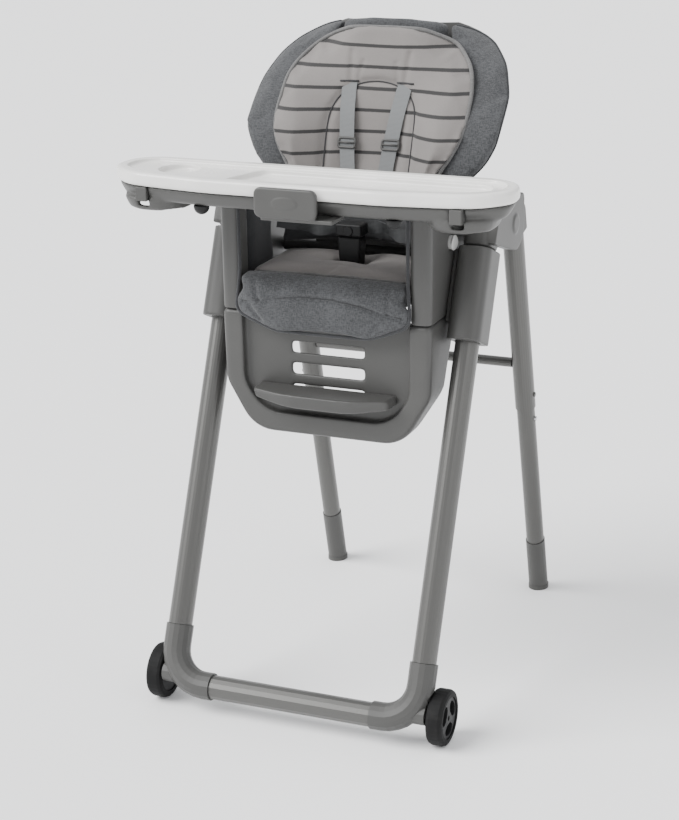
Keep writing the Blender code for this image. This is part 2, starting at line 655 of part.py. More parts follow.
def lower_shell():
    """Front panel with its ring and the lower ends of the side walls."""
    top = SHELL_SEAM_Z
    half, bottom = SHELL_HALF, SHELL_BOTTOM_Z

    def face(inset, top_z):
        right = [(half - inset, top_z), (half - 0.002 - inset, 0.540, 0.050),
                 (0.135 - inset * 0.6, bottom + inset, 0.062)]
        return rounded([(-x, *rest) for x, *rest in right] + list(reversed(right)))

    name = "lower_shell"
    part = slab(name, [face(0.0, top)], SHELL_FRONT_Y, TRIM_TOP[0], "Y", SHELL_GREY)
    soften(part, 0.009, segments=3)
    panel_front = SHELL_FRONT_Y + RING_DEEP
    panel_back = panel_front + SHELL_WALL
    hollow = slab(name + "_hollow", [face(SHELL_WALL, top + 0.05)], panel_back, TRIM_TOP[0] + 0.05,
                  "Y", cutter=True)
    cut(part, hollow)
    recess = slab(name + "_recess", [face(RING_W, top + 0.05)], SHELL_FRONT_Y - 0.05, panel_front,
                  "Y", cutter=True)
    cut(part, soften(recess, 0.004))
    cut(part, rear_trim(name + "_trim"))
    for k in range(3):
        high = SLOT_TOP_Z - k * SLOT_PITCH
        outline = box_outline(2 * SLOT_HALF, SLOT_H, 0.003, (0.0, high - SLOT_H / 2.0), steps=3)
        slot = slab(f"{name}_slot_{k}", [outline], panel_front - 0.02, panel_back + 0.02, "Y",
                    cutter=True)
        cut(part, slot)
    return shade(part)


def footrest():
    """Boat-shaped rest with a curved front that plugs into the lowest slot of the front panel."""
    back = SHELL_FRONT_Y + RING_DEEP - GAP
    half, nose, low, high = 0.124, 0.063, 0.5120, 0.5400
    plan = rounded([(half, back), (half - 0.004, SHELL_FRONT_Y - 0.030, 0.012), (0.062, back - nose, 0.12),
                    (-0.062, back - nose, 0.12), (-half + 0.004, SHELL_FRONT_Y - 0.030, 0.012),
                    (-half, back)])
    part = slab("footrest", [plan], low, high, "Z", SHELL_GREY)
    for vert in part.data.vertices:
        if vert.co.z < low + GAP:
            vert.co.z += 0.011 * (vert.co.x / half) ** 2
            vert.co.y = back + (vert.co.y - back) * 0.80
    soften(part, 0.003)
    slot_low = SLOT_TOP_Z - 2 * SLOT_PITCH - SLOT_H
    tongue = block("footrest_tongue", (-SLOT_HALF + 0.006, back - 0.01, slot_low + 2 * RUN),
                   (SLOT_HALF - 0.006, back + SHELL_WALL + 0.008, slot_low + 0.012), cutter=True)
    return shade(cut(part, tongue, "UNION"))


def bucket():
    """Inner seat: a floor between two side walls that run from under the seat to the armrests."""
    outer = SHELL_HALF - SHELL_WALL - BUCKET_GAP
    inner = outer - BUCKET_WALL
    under = FLOOR_Z - 0.006
    top = ARM_TOP_Z - 0.001 - 2 * GAP
    half = [(0.0, under), (inner, under), (inner, BUCKET_LOW_Z), (outer, BUCKET_LOW_Z),
            (outer, top), (inner, top), (inner, FLOOR_Z), (0.0, FLOOR_Z)]
    section = [c for c in mirrored(half) if c[0] != 0.0]
    part = slab("seat_bucket", [section], BUCKET_FRONT_Y, BUCKET_REAR_Y, "Y", SHELL_GREY)
    for side in (1, -1):
        hole = cylinder(f"axle_hole_{side}", 0.005 + RUN, *sorted((side * (inner - 0.01), side * (outer + 0.01))),
                        "X", (PIVOT_Y, PIVOT_Z), cutter=True)
        cut(part, hole)
    return shade(part)


def height_sleeve(side, label):
    """Sleeve that carries the seat on a front leg, with the bracket that joins it to the seat."""
    place = front_frame(side, SLEEVE_Z[0])
    length = (SLEEVE_Z[1] - SLEEVE_Z[0]) / math.cos(FRONT_LEAN)
    name = f"height_sleeve_{label}"
    bore = oval(TUBE_W + 2 * RUN, TUBE_D + 2 * RUN)
    body = prism(name, [box_outline(SLEEVE_W, SLEEVE_D, 0.022), bore], length,
                 place @ Matrix.Translation((0.0, 0.0, length / 2.0)), SHELL_GREY)
    gap_half = LEG_X - SLEEVE_W / 2.0 - SHELL_HALF
    wide = gap_half + 0.0015
    bracket = block(name + "_bracket", (-wide / 2.0, -0.026, 0.030), (wide / 2.0, 0.030, length - 0.006),
                    cutter=True)
    reach = -side * (SLEEVE_W / 2.0 + gap_half - GAP - wide / 2.0)
    bracket.matrix_world = place @ Matrix.Translation((reach, 0.0, 0.0))
    cut(body, bracket, "UNION")
    mid = lever_middle()
    pocket = block(name + "_pocket", (-LEVER_W / 2 - RUN, SLEEVE_D / 2 - 0.013, mid - LEVER_L / 2 - RUN),
                   (LEVER_W / 2 + RUN, SLEEVE_D, mid + LEVER_L / 2 + RUN), cutter=True)
    pocket.matrix_world = place
    return shade(cut(body, pocket))


def lever_middle():
    """Distance of the lever's middle above the sleeve's lower end, along the leg."""
    return (SLEEVE_Z[1] - SLEEVE_Z[0]) / math.cos(FRONT_LEAN) - LEVER_L / 2.0 - 0.022


def height_lever(side, label):
    """Squeeze lever behind the sleeve; it travels towards the leg."""
    mid = lever_middle()
    base = SLEEVE_D / 2.0 - 0.013 + LEVER_TRAVEL + RUN
    part = block(f"height_lever_{label}", (-LEVER_W / 2, base, mid - LEVER_L / 2),
                 (LEVER_W / 2, SLEEVE_D / 2 + LEVER_PROUD, mid + LEVER_L / 2), DARK_PLASTIC)
    part.matrix_world = front_frame(side, SLEEVE_Z[0])
    return shade(soften(part, 0.005, 3))


def crotch_post():
    """Tapered post between the child's legs, with the harness buckle on top."""
    bm = bmesh.new()
    bmesh.ops.create_cube(bm, size=1.0)
    low, high = FLOOR_Z + GAP, POST_TOP_Z
    for vert in bm.verts:
        top = vert.co.z > 0
        width, depth = (0.042, 0.030) if top else (0.032, 0.030)
        vert.co = (vert.co.x * width, POST_Y + vert.co.y * depth, high if top else low)
    post = shade(soften(from_bmesh("crotch_post", bm, DARK_PLASTIC), 0.004, 3))
    buckle = block("harness_buckle", (-BUCKLE_HALF, POST_Y - 0.017, POST_TOP_Z + GAP),
                   (BUCKLE_HALF, POST_Y + 0.017, POST_TOP_Z + 0.022), DARK_PLASTIC)
    soften(buckle, 0.004, 3)
    well = cylinder("buckle_well", 0.0085 + RUN, POST_Y - 0.03, POST_Y - 0.017 + 0.008, "Y",
                    (0.0, POST_TOP_Z + 0.011), cutter=True)
    cut(buckle, well)
    button = cylinder("buckle_button", 0.0085, POST_Y - 0.019, POST_Y - 0.017 + 0.0045, "Y",
                      (0.0, POST_TOP_Z + 0.011), LIGHT_PLASTIC)
    return post, shade(buckle), shade(soften(button, 0.001))


# ================================================================ back
def half_ellipse(z, middle, top, low, half, power=2.0):
    """Half the width of an egg outline at a height; a higher power gives blunter ends."""
    reach = (top - middle) if z > middle else (middle - low)
    share = min(abs(z - middle) / reach, 1.0)
    return half * max(1.0 - share ** power, 0.0) ** (1.0 / power)


def cover_half(z):
    return max(half_ellipse(z, BACK_WIDEST_Z, BACK_TOP_Z, 0.800, BACK_HALF, TOP_POWER if z > BACK_WIDEST_Z else 2.0),
               0.140 if z < BACK_WIDEST_Z else 0.0)


def insert_half(z):
    return max(half_ellipse(z, 0.992, INSERT_TOP_Z, 0.810, INSERT_HALF),
               0.132 if z < 0.992 else 0.0)


def dish(x, z):
    """How far the back's surface stands behind its middle line, at the shoulders."""
    depth = min(max(0.70 * (z - 1.03), -0.060), 0.035)
    share = min(max((abs(x) - 0.03) / 0.135, 0.0), 1.0)
    return depth * share * share * (3.0 - 2.0 * share)


def insert_y(z):
    return INSERT_FRONT_Y + math.tan(RECLINE) * (z - INSERT_REF_Z)


def dished_slab(name, left, right, heights, behind, thickness, finish, columns=12, thin=0.0):
    """A slab of even depth along Y whose front follows the back's dished surface.

    left(z) and right(z) give its edges at a height; behind is its distance behind the insert.
    """
    bm = bmesh.new()
    rows = len(heights) - 1
    bmesh.ops.create_grid(bm, x_segments=columns, y_segments=rows, size=0.5)
    for vert in bm.verts:
        across = vert.co.x + 0.5
        z = heights[round((vert.co.y + 0.5) * rows)]
        x = left(z) + (right(z) - left(z)) * across
        vert.co = (x, insert_y(z) + behind + dish(x, z), z)
    grown = bmesh.ops.extrude_face_region(bm, geom=bm.faces[:])
    moved = [item for item in grown["geom"] if isinstance(item, bmesh.types.BMVert)]
    for vert in moved:
        top = min(max((vert.co.z - BACK_TOP_Z + 0.030) / 0.030, 0.0), 1.0)
        vert.co.y += thickness - thin * top * top
    return shade(from_bmesh(name, bm, finish))


def crowded(low, high, rows):
    """Heights that crowd together towards the top; a taller back gets more rows."""
    rows = max(round(rows * (BACK_TOP_Z - BACK_LOW_Z) / 0.370 - 0.3), 8)
    return [low + (high - low) * math.sin(math.pi / 2 * k / rows) for k in range(rows)] + [high - 0.0008]


def back_pieces():
    cover_behind = INSERT_T + LAYER_GAP
    shell_behind = cover_behind + COVER_T + LAYER_GAP
    heights = crowded(BACK_LOW_Z, BACK_TOP_Z, 20)
    middle = dished_slab("back_cover", lambda z: -min(cover_half(z), PANEL_HALF),
                         lambda z: min(cover_half(z), PANEL_HALF), heights, cover_behind, COVER_T, CHARCOAL,
                         thin=TOP_THIN)
    share = (1.0 - (PANEL_HALF / BACK_HALF) ** TOP_POWER) ** (1.0 / TOP_POWER)
    wing_top = BACK_WIDEST_Z + (BACK_TOP_Z - BACK_WIDEST_Z) * share
    wings = []
    for side, label in SIDES:
        seam = PANEL_HALF + LAYER_GAP

        def inner(z):
            return side * seam

        def outer(z):
            return side * max(cover_half(z), seam + 0.001)

        edges = (inner, outer) if side > 0 else (outer, inner)
        wings.append(dished_slab(f"back_wing_{label}", *edges, crowded(WING_LOW_Z, wing_top, 14),
                                 cover_behind + 0.0012, COVER_T, CHARCOAL, columns=8, thin=TOP_THIN))
    insert = dished_slab("body_support_insert", lambda z: -insert_half(z), insert_half,
                         crowded(BACK_LOW_Z, INSERT_TOP_Z, 20), 0.0, INSERT_T, TAUPE)

    def shell_half(z):
        limit = SHELL_HALF - SHELL_WALL - BUCKET_GAP - BUCKET_WALL - 0.004
        return min(max(cover_half(z) - 0.012, 0.001), limit)

    shell = dished_slab("back_shell", lambda z: -shell_half(z), shell_half,
                        crowded(BACK_LOW_Z, BACK_TOP_Z - 0.014, 16), shell_behind, BACK_SHELL_T,
                        SHELL_GREY)
    half = SHELL_HALF - SHELL_WALL - BUCKET_GAP - BUCKET_WALL - 0.003
    barrel_r = 0.011
    foot_y = insert_y(BACK_LOW_Z) + shell_behind
    neck = [(PIVOT_Y - 0.006, PIVOT_Z), (PIVOT_Y + 0.006, PIVOT_Z),
            (foot_y + BACK_SHELL_T + 0.003, BACK_LOW_Z + 0.014),
            (foot_y + 0.0015, BACK_LOW_Z + 0.014)]
    tongue = slab("back_shell_neck", [neck], -0.110, 0.110, "X", cutter=True)
    cut(shell, tongue, "UNION")
    barrel = cylinder("back_shell_barrel", barrel_r, -half, half, "X", (PIVOT_Y, PIVOT_Z), cutter=True)
    cut(shell, barrel, "UNION")
    bore = cylinder("back_shell_bore", 0.005 + RUN, -half - 0.02, half + 0.02, "X",
                    (PIVOT_Y, PIVOT_Z), cutter=True)
    cut(shell, bore)
    reach = SHELL_HALF - SHELL_WALL - BUCKET_GAP - GAP
    axle = cylinder("recline_axle", 0.005, -reach, reach, "X", (PIVOT_Y, PIVOT_Z), STEEL)
    return middle, wings, insert, shell, shade(axle)


def strap_y(z):
    """Back face of a shoulder strap, just in front of the insert at the strap's outer edge."""
    return insert_y(z) + min(dish(STRAP_X + STRAP_W / 2.0, z), 0.0) - 0.0025


def shoulder_strap(side, label):
    """Harness strap down the front of the insert."""
    heights = [STRAP_LOW_Z + (STRAP_TOP_Z - STRAP_LOW_Z) * k / 6.0 for k in range(7)]
    back = [(strap_y(z), z) for z in heights]
    outline = back + [(y - STRAP_T, z) for y, z in reversed(back)]
    x = side * STRAP_X
    return slab(f"shoulder_strap_{label}", [outline], x - STRAP_W / 2, x + STRAP_W / 2, "X", WEBBING)


def strap_adjuster(side, label):
    z = 0.915
    y = strap_y(z) - STRAP_T - 0.0012
    x = side * STRAP_X
    part = block(f"strap_adjuster_{label}", (-0.016, -0.004, -0.008), (0.016, 0.0, 0.008), SHELL_GREY)
    part.matrix_world = Matrix.Translation((x, y, z)) @ Matrix.Rotation(-RECLINE, 4, "X")
    return shade(soften(part, 0.0015))


def lap_belt():
    """Waist strap from one side of the seat to the other, behind the buckle."""
    y, low = POST_Y + 0.0225, POST_TOP_Z - 0.002
    end_y = POST_Y - 0.010
    plan = [(-0.136, end_y), (-0.034, y), (0.034, y), (0.136, end_y)]
    band = plan + [(x, v + STRAP_T) for x, v in reversed(plan)]
    return slab("lap_belt", [band], low, low + STRAP_W, "Z", WEBBING)


# ================================================================ padding on the seat
def seat_padding():
    inner = SHELL_HALF - SHELL_WALL - BUCKET_GAP - BUCKET_WALL
    pad_half = inner - 0.026
    pad = block("seat_pad", (-pad_half, BUCKET_FRONT_Y - 0.010, FLOOR_Z + GAP),
                (pad_half, 0.000, 0.733), TAUPE)
    soften(pad, 0.010, 3)
    room = block("post_room", (-0.029, POST_Y - 0.022, 0.6), (0.029, POST_Y + 0.022, 0.8), cutter=True)
    cut(pad, room)
    flap_in = SHELL_HALF - RING_W - 0.003
    wide = flap_in + 0.010
    drop = rounded([(flap_in, 0.730, 0.008), (-flap_in, 0.730, 0.008), (-flap_in, 0.706, 0.02),
                    (-wide, 0.692, 0.02), (-wide, 0.664, 0.024), (-0.085, 0.634, 0.10),
                    (0.085, 0.634, 0.10), (wide, 0.664, 0.024), (wide, 0.692, 0.02), (flap_in, 0.706, 0.02)])
    flap = slab("calf_flap", [drop], SHELL_FRONT_Y - 0.0130, SHELL_FRONT_Y - 0.0012, "Y", CHARCOAL)
    soften(flap, 0.004)
    roll = block("calf_flap_roll", (-flap_in, SHELL_FRONT_Y - 0.006, 0.690),
                 (flap_in, BUCKET_FRONT_Y - 0.0115, 0.7295), cutter=True)
    cut(flap, soften(roll, 0.004), "UNION")
    linings = []
    for side, label in SIDES:
        x = sorted((side * (inner - 0.001), side * (inner - 0.019)))
        lining = block(f"side_lining_{label}", (x[0], BUCKET_FRONT_Y + 0.001, FLOOR_Z + 0.002),
                       (x[1], -0.035, ARM_TOP_Z - 0.003), LINING)
        linings.append(shade(soften(lining, 0.006, 3)))
    return shade(pad), shade(flap), linings


# ================================================================ tray
def tray_outline(inset, steps=6):
    """Plan of the tray: a long rounded bar, straight on the child's side and bowed at the front."""
    half = TRAY_HALF - inset
    front, rear = TRAY_FRONT_Y + inset, TRAY_REAR_Y - inset
    shoulder = (TRAY_FRONT_Y + TRAY_REAR_Y) / 2.0 - 0.005
    side = [(0.150, front, 0.3), (half - 0.042, front + TRAY_END_DEEP * 0.7, 0.095 - inset),
            (half, shoulder, 0.050 - inset), (half, rear, 0.060 - inset)]
    return rounded([(-x, *rest) for x, *rest in side] + list(reversed(side)), steps)


def tray_base():
    """Grey lower tray: a tapering band with a deeper belly at each end, open underneath."""
    part = slab("tray_base", [tray_outline(TRAY_STEP)], TRAY_LOW_Z, TRAY_SEAM_Z - GAP, "Z", SHELL_GREY)
    centre_y = (TRAY_FRONT_Y + TRAY_REAR_Y) / 2.0
    across = 1.0 - TRAY_TAPER / (TRAY_HALF - TRAY_STEP)
    along = 1.0 - TRAY_TAPER / (TRAY_REAR_Y - centre_y - TRAY_STEP)
    for vert in part.data.vertices:
        if vert.co.z < TRAY_LOW_Z + GAP:
            vert.co.x *= across
            vert.co.y = centre_y + (vert.co.y - centre_y) * along
    soften(part, 0.006, 2, 50.0)
    middle = slab("tray_base_room", [box_outline(0.270, BELLY_D - 0.016, 0.012, (0.0, centre_y))],
                  BELLY_Z - 0.05, TRAY_SEAM_Z - 0.004, "Z", cutter=True)
    for side, label in SIDES:
        centre = (side * BELLY_X, centre_y + 0.004)
        belly = slab(f"tray_belly_{label}", [box_outline(BELLY_W, BELLY_D, 0.050, centre)], BELLY_Z,
                     TRAY_LOW_Z + 0.006, "Z", cutter=True)
        for vert in belly.data.vertices:
            if vert.co.z < BELLY_Z + GAP:
                vert.co.x = centre[0] + (vert.co.x - centre[0]) * 0.84
                vert.co.y = centre[1] + (vert.co.y - centre[1]) * 0.84
        soften(belly, 0.006, 2, 50.0)
        cut(part, belly, "UNION")
        room = [box_outline(BELLY_W - 0.032, BELLY_D - 0.036, 0.024, centre)]
        hollow = slab(f"tray_belly_room_{label}", room, BELLY_Z - 0.05, TRAY_SEAM_Z - 0.004, "Z", cutter=True)
        cut(part, hollow)
        cut(part, clip_pocket(side, label))
    return shade(cut(part, middle))


def tray_edge_y(x):
    """Front edge of the grey base at a distance from its middle."""
    edge = sorted((a, b) for a, b in tray_outline(TRAY_STEP) if a > 0.0 and b < TRAY_FRONT_Y + 0.090)
    for (a, y0), (c, y1) in zip(edge, edge[1:]):
        if a <= x <= c:
            return y0 + (y1 - y0) * (x - a) / (c - a)
    return edge[-1][1]


def clip_box(side, slack):
    x, beyond = side * CLIP_X, 0.01 if slack else 0.0
    face = tray_edge_y(CLIP_X - CLIP_W / 2) - 0.0005
    low = (x - CLIP_W / 2 - slack, face - 2 * beyond, TRAY_LOW_Z + 0.001 - beyond)
    high = (x + CLIP_W / 2 + slack, face + 0.022 + slack, TRAY_SEAM_Z - 2 * GAP + beyond)
    return low, high


def clip_pocket(side, label):
    return block(f"clip_pocket_{label}", *clip_box(side, RUN), cutter=True)


def tray_clip(side, label):
    """Clip in the tray's front that holds the insert down."""
    return shade(soften(block(f"tray_clip_{label}", *clip_box(side, 0.0), SHELL_GREY), 0.0015))


def tray_knob(side, label):
    """Round lock knob under the tray, in front of the armrest."""
    bm = bmesh.new()
    bmesh.ops.create_uvsphere(bm, u_segments=20, v_segments=10, radius=0.013)
    bmesh.ops.bisect_plane(bm, geom=bm.verts[:] + bm.edges[:] + bm.faces[:], plane_co=(0, 0, 0.002),
                           plane_no=(0, 0, 1), clear_outer=True)
    rim = [e for e in bm.edges if e.is_boundary]
    bmesh.ops.contextual_create(bm, geom=rim)
    part = from_bmesh(f"tray_knob_{label}", bm, DARK_PLASTIC)
    part.location = (side * KNOB_X, KNOB_Y, TRAY_LOW_Z - 0.002 - GAP)
    return shade(part)


def tray_insert():
    """White insert: a rounded rim, a food well, a raised end and a round cup recess."""
    part = slab("tray_insert", [tray_outline(0.0)], TRAY_SEAM_Z, RIM_TOP_Z, "Z", TRAY_WHITE)
    soften(part, 0.006, 2)
    field = slab("tray_field", [tray_outline(RIM_W)], ISLAND_Z, RIM_TOP_Z + 0.02, "Z", cutter=True)
    cut(part, field)
    deep_front, deep_rear, right = TRAY_FRONT_Y + 0.030, TRAY_REAR_Y - 0.028, TRAY_HALF
    well = rounded([(-0.135, deep_front, 0.020), (right - 0.100, deep_front + 0.006, 0.050),
                    (right - 0.040, deep_front + 0.040, 0.030), (right - 0.048, deep_rear - 0.004, 0.026),
                    (-0.100, deep_rear, 0.020)])
    deep = slab("food_well", [well], WELL_Z, RIM_TOP_Z + 0.02, "Z", cutter=True)
    cut(part, soften(deep, 0.003))
    cup = cylinder("cup_recess", CUP_R, WELL_Z, RIM_TOP_Z + 0.02, "Z", (CUP_X, CUP_Y), cutter=True,
                   segments=40)
    return shade(cut(part, cup))


def tray_release():
    """Handle on the tray's front edge, with a plain raised oval."""
    face = TRAY_FRONT_Y - 0.0055
    outline = box_outline(HANDLE_W, HANDLE_H, 0.011, (0.0, HANDLE_Z))
    part = slab("tray_release_handle", [outline], face - 0.010, face, "Y", SHELL_GREY)
    soften(part, 0.003, 3)
    under_z = TRAY_LOW_Z - 0.0012
    lip = block("tray_release_lip", (-LIP_LEFT, face - 0.006, under_z - 0.006),
                (LIP_RIGHT, face + 0.045, under_z), cutter=True)
    cut(part, lip, "UNION")
    oval_place = Matrix.Translation((0.0, face - 0.010, HANDLE_Z + 0.001)) @ ALONG_Y
    raised = prism("tray_release_oval", [oval(BADGE_W, BADGE_H, 36)], 0.0024, oval_place, cutter=True)
    return shade(cut(part, raised, "UNION"))


# ================================================================ assembly
def build():
    for side, label in SIDES:
        front_leg(side, label)
        corner_moulding(side, label)
        hinge_housing(side, label)
        hinge_pin(side, label)
        axle_point = joint_empty(f"wheel_{label}_axis", (side * WHEEL_X, WHEEL_Y, WHEEL_R))
        hang(axle_point, *wheel(side, label))
    floor_tube()

    fold = joint_empty("rear_fold_axis", (0.0, HINGE_Y, HINGE_Z))
    hang(fold, rear_crossbar())
    for side, label in SIDES:
        hang(fold, rear_hinge_arm(side, label), *rear_leg(side, label))
        snap = joint_empty(f"leg_snap_{label}_axis", (side * REAR_X, rear_y(SNAP_Z), SNAP_Z))
        hang(snap, leg_snap_button(side, label))
        hang(fold, snap)

    slide = joint_empty("seat_height_axis", (0.0, front_y(SLEEVE_Z[0]), SLEEVE_Z[0]))
    hang(slide, lower_shell(), bucket())
    post, buckle, buckle_button = crotch_post()
    pad, flap, linings = seat_padding()
    hang(slide, post, buckle, pad, flap, *linings, lap_belt())
    press = joint_empty("buckle_button_axis", (0.0, POST_Y, POST_TOP_Z))
    hang(press, buckle_button)
    rest = joint_empty("footrest_axis", (0.0, SHELL_FRONT_Y, SLOT_TOP_Z - 2 * SLOT_PITCH))
    hang(rest, footrest())
    hang(slide, press, rest)
    for side, label in SIDES:
        hang(slide, fairing(side, label), height_sleeve(side, label))
        squeeze = joint_empty(f"height_lever_{label}_axis", on_front(side, SLEEVE_Z[1]))
        hang(squeeze, height_lever(side, label))
        push = joint_empty(f"seat_release_{label}_axis", (side * SHELL_HALF, BUTTON_Y, BUTTON_Z))
        hang(push, seat_release_button(side, label))
        hang(slide, squeeze, push)

    recline = joint_empty("back_recline_axis", (0.0, PIVOT_Y, PIVOT_Z))
    middle, wings, insert, shell, axle = back_pieces()
    hang(slide, axle)
    hang(recline, middle, insert, shell, *wings)
    for side, label in SIDES:
        hang(recline, shoulder_strap(side, label), strap_adjuster(side, label))
    hang(slide, recline)

    tray = joint_empty("tray_slide_axis", (0.0, TRAY_FRONT_Y, ARM_TOP_Z + ARMREST_T))
    hang(tray, tray_base())
    for side, label in SIDES:
        hang(tray, tray_clip(side, label), tray_knob(side, label))
    lift = joint_empty("tray_insert_axis", (0.0, TRAY_FRONT_Y, TRAY_SEAM_Z))
    hang(lift, tray_insert())
    release = joint_empty("tray_release_axis", (0.0, TRAY_FRONT_Y, HANDLE_Z))
    hang(release, tray_release())
    hang(tray, lift, release)
    hang(slide, tray)


build()
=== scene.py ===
# %% [markdown]
# # Baby high chair
# The hard parts of this chair come from its CAD frame, already in place.  This lesson gives them
# their finishes, rounds the mouldings, and makes the soft parts: the padded back with its checked
# insert, the seat pad, the calf flap and the harness.  The frame is loaded first, because every
# piece takes its place from it.

# %% The frame
import math

import bmesh
import bpy
from mathutils import Matrix, Vector
from mathutils.bvhtree import BVHTree


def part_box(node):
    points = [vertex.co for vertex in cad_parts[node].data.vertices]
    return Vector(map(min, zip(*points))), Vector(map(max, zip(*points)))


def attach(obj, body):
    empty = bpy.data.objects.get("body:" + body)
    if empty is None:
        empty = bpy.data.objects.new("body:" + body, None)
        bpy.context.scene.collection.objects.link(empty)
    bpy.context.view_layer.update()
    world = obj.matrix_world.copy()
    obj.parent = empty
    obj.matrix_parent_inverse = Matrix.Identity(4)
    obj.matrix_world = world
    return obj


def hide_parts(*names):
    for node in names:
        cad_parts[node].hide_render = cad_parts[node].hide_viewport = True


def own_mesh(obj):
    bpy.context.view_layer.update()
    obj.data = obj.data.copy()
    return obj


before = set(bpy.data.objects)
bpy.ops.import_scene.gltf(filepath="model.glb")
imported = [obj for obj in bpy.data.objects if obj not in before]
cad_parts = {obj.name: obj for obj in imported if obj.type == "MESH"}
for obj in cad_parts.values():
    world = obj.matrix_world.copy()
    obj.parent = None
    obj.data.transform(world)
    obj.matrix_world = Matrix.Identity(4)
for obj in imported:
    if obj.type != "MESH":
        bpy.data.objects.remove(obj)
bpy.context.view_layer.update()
SIDES = ((1, "left"), (-1, "right"))

# %% [markdown]
# The camera stands to the chair's front left and a little above the tray.  A long lens keeps the
# legs nearly parallel.  The camera is made before anything else so that each new piece can be
# looked at as soon as it exists.

# %% Camera
CAMERA_TARGET = Vector((-0.0449, -0.0189, 0.4612))
CAMERA_AZIMUTH = math.radians(22.834)
CAMERA_ELEVATION = math.radians(18.086)
CAMERA_ROLL = math.radians(-0.977)
CAMERA_DISTANCE, CAMERA_LENS, CAMERA_SHIFT = 3.5347, 88.34, -0.0087


def place_camera():
    flat = math.cos(CAMERA_ELEVATION)
    back = Vector((math.sin(CAMERA_AZIMUTH) * flat, -math.cos(CAMERA_AZIMUTH) * flat,
                   math.sin(CAMERA_ELEVATION)))
    right = Vector((0, 0, 1)).cross(back).normalized()
    up = back.cross(right)
    turned_right = right * math.cos(CAMERA_ROLL) + up * math.sin(CAMERA_ROLL)
    turned_up = up * math.cos(CAMERA_ROLL) - right * math.sin(CAMERA_ROLL)
    camera = bpy.data.objects.new("camera", bpy.data.cameras.new("camera"))
    bpy.context.scene.collection.objects.link(camera)
    axes = Matrix((turned_right, turned_up, back)).transposed()
    place = CAMERA_TARGET + back * CAMERA_DISTANCE
    camera.matrix_world = Matrix.Translation(place) @ axes.to_4x4()
    camera.data.lens = CAMERA_LENS
    camera.data.shift_y = CAMERA_SHIFT
    camera.data.clip_start = 0.1
    bpy.context.scene.camera = camera


place_camera()
print("camera placed")

# %% [markdown]
# A studio is a pale floor, a broad soft light from high on the left, a weaker lamp from the right
# and an even pale sky.  The broad light is a sun lamp with a wide disc: it lights the floor evenly
# right out to the edge of the view, and still gives shadows the soft edges of a light tent.

# %% Floor and light
LAMP_TARGET = Vector((0.0, 0.0, 0.5))
KEY_PLACE, KEY_POWER, KEY_DISC = (-1.7, -1.3, 2.6), 4.8, math.radians(40)
SIDE_PLACE, SIDE_POWER, SIDE_SIZE = (2.6, -1.0, 1.5), 9, 1.4
SKY_COLOUR, SKY_STRENGTH = (0.97, 0.98, 1.0, 1.0), 1.15
FLOOR_REACH = 60.0


def lamp(name, kind, place, power, size):
    light = bpy.data.lights.new(name, kind)
    light.energy = power
    if kind == "SUN":
        light.angle = size
    else:
        light.shape, light.size = "DISK", size
    made = bpy.data.objects.new(name, light)
    bpy.context.scene.collection.objects.link(made)
    made.location = place
    made.rotation_euler = (LAMP_TARGET - Vector(place)).to_track_quat("-Z", "Y").to_euler()


lamp("key_light", "SUN", KEY_PLACE, KEY_POWER, KEY_DISC)
lamp("side_lamp", "AREA", SIDE_PLACE, SIDE_POWER, SIDE_SIZE)
sky = bpy.data.worlds.new("studio")
bpy.context.scene.world = sky
sky.use_nodes = True
background = sky.node_tree.nodes["Background"]
background.inputs["Color"].default_value = SKY_COLOUR
background.inputs["Strength"].default_value = SKY_STRENGTH

bm = bmesh.new()
bmesh.ops.create_grid(bm, x_segments=1, y_segments=1, size=FLOOR_REACH)
floor_mesh = bpy.data.meshes.new("floor")
bm.to_mesh(floor_mesh)
bm.free()
floor = bpy.data.objects.new("floor", floor_mesh)
bpy.context.scene.collection.objects.link(floor)
print("studio ready")

# %% [markdown]
# Shader maths reads best as plain Python.  `Value` wraps a socket, and its operators add Math
# nodes.  `Finish` makes a material around one Principled BSDF and adds any other node by its type,
# its settings and the values or links of its sockets.

# %% Shader tools
class Value:
    """A node's output; arithmetic on it adds Math nodes."""

    def __init__(self, finish, socket):
        self.finish, self.socket = finish, socket

    def math(self, operation, *values):
        return self.finish.node("ShaderNodeMath", {"operation": operation}, *values)

    def __add__(self, other):
        return self.math("ADD", self, other)

    def __sub__(self, other):
        return self.math("SUBTRACT", self, other)

    def __rsub__(self, other):
        return self.math("SUBTRACT", other, self)

    def __mul__(self, other):
        return self.math("MULTIPLY", self, other)

    def __lt__(self, other):
        return self.math("LESS_THAN", self, other)

    def __abs__(self):
        return self.math("ABSOLUTE", self)

    __radd__ = __add__
    __rmul__ = __mul__

    def sine(self):
        return self.math("SINE", self)

    def wrap(self, period):
        """Distance to the nearest multiple of the period."""
        return abs(self.math("WRAP", self, period / 2, -period / 2))

    def step(self, low, high):
        """0 below low, 1 above high, smooth between."""
        settings = {"interpolation_type": "SMOOTHSTEP"}
        values = {"Value": self, "From Min": low, "From Max": high}
        return self.finish.node("ShaderNodeMapRange", settings, **values)


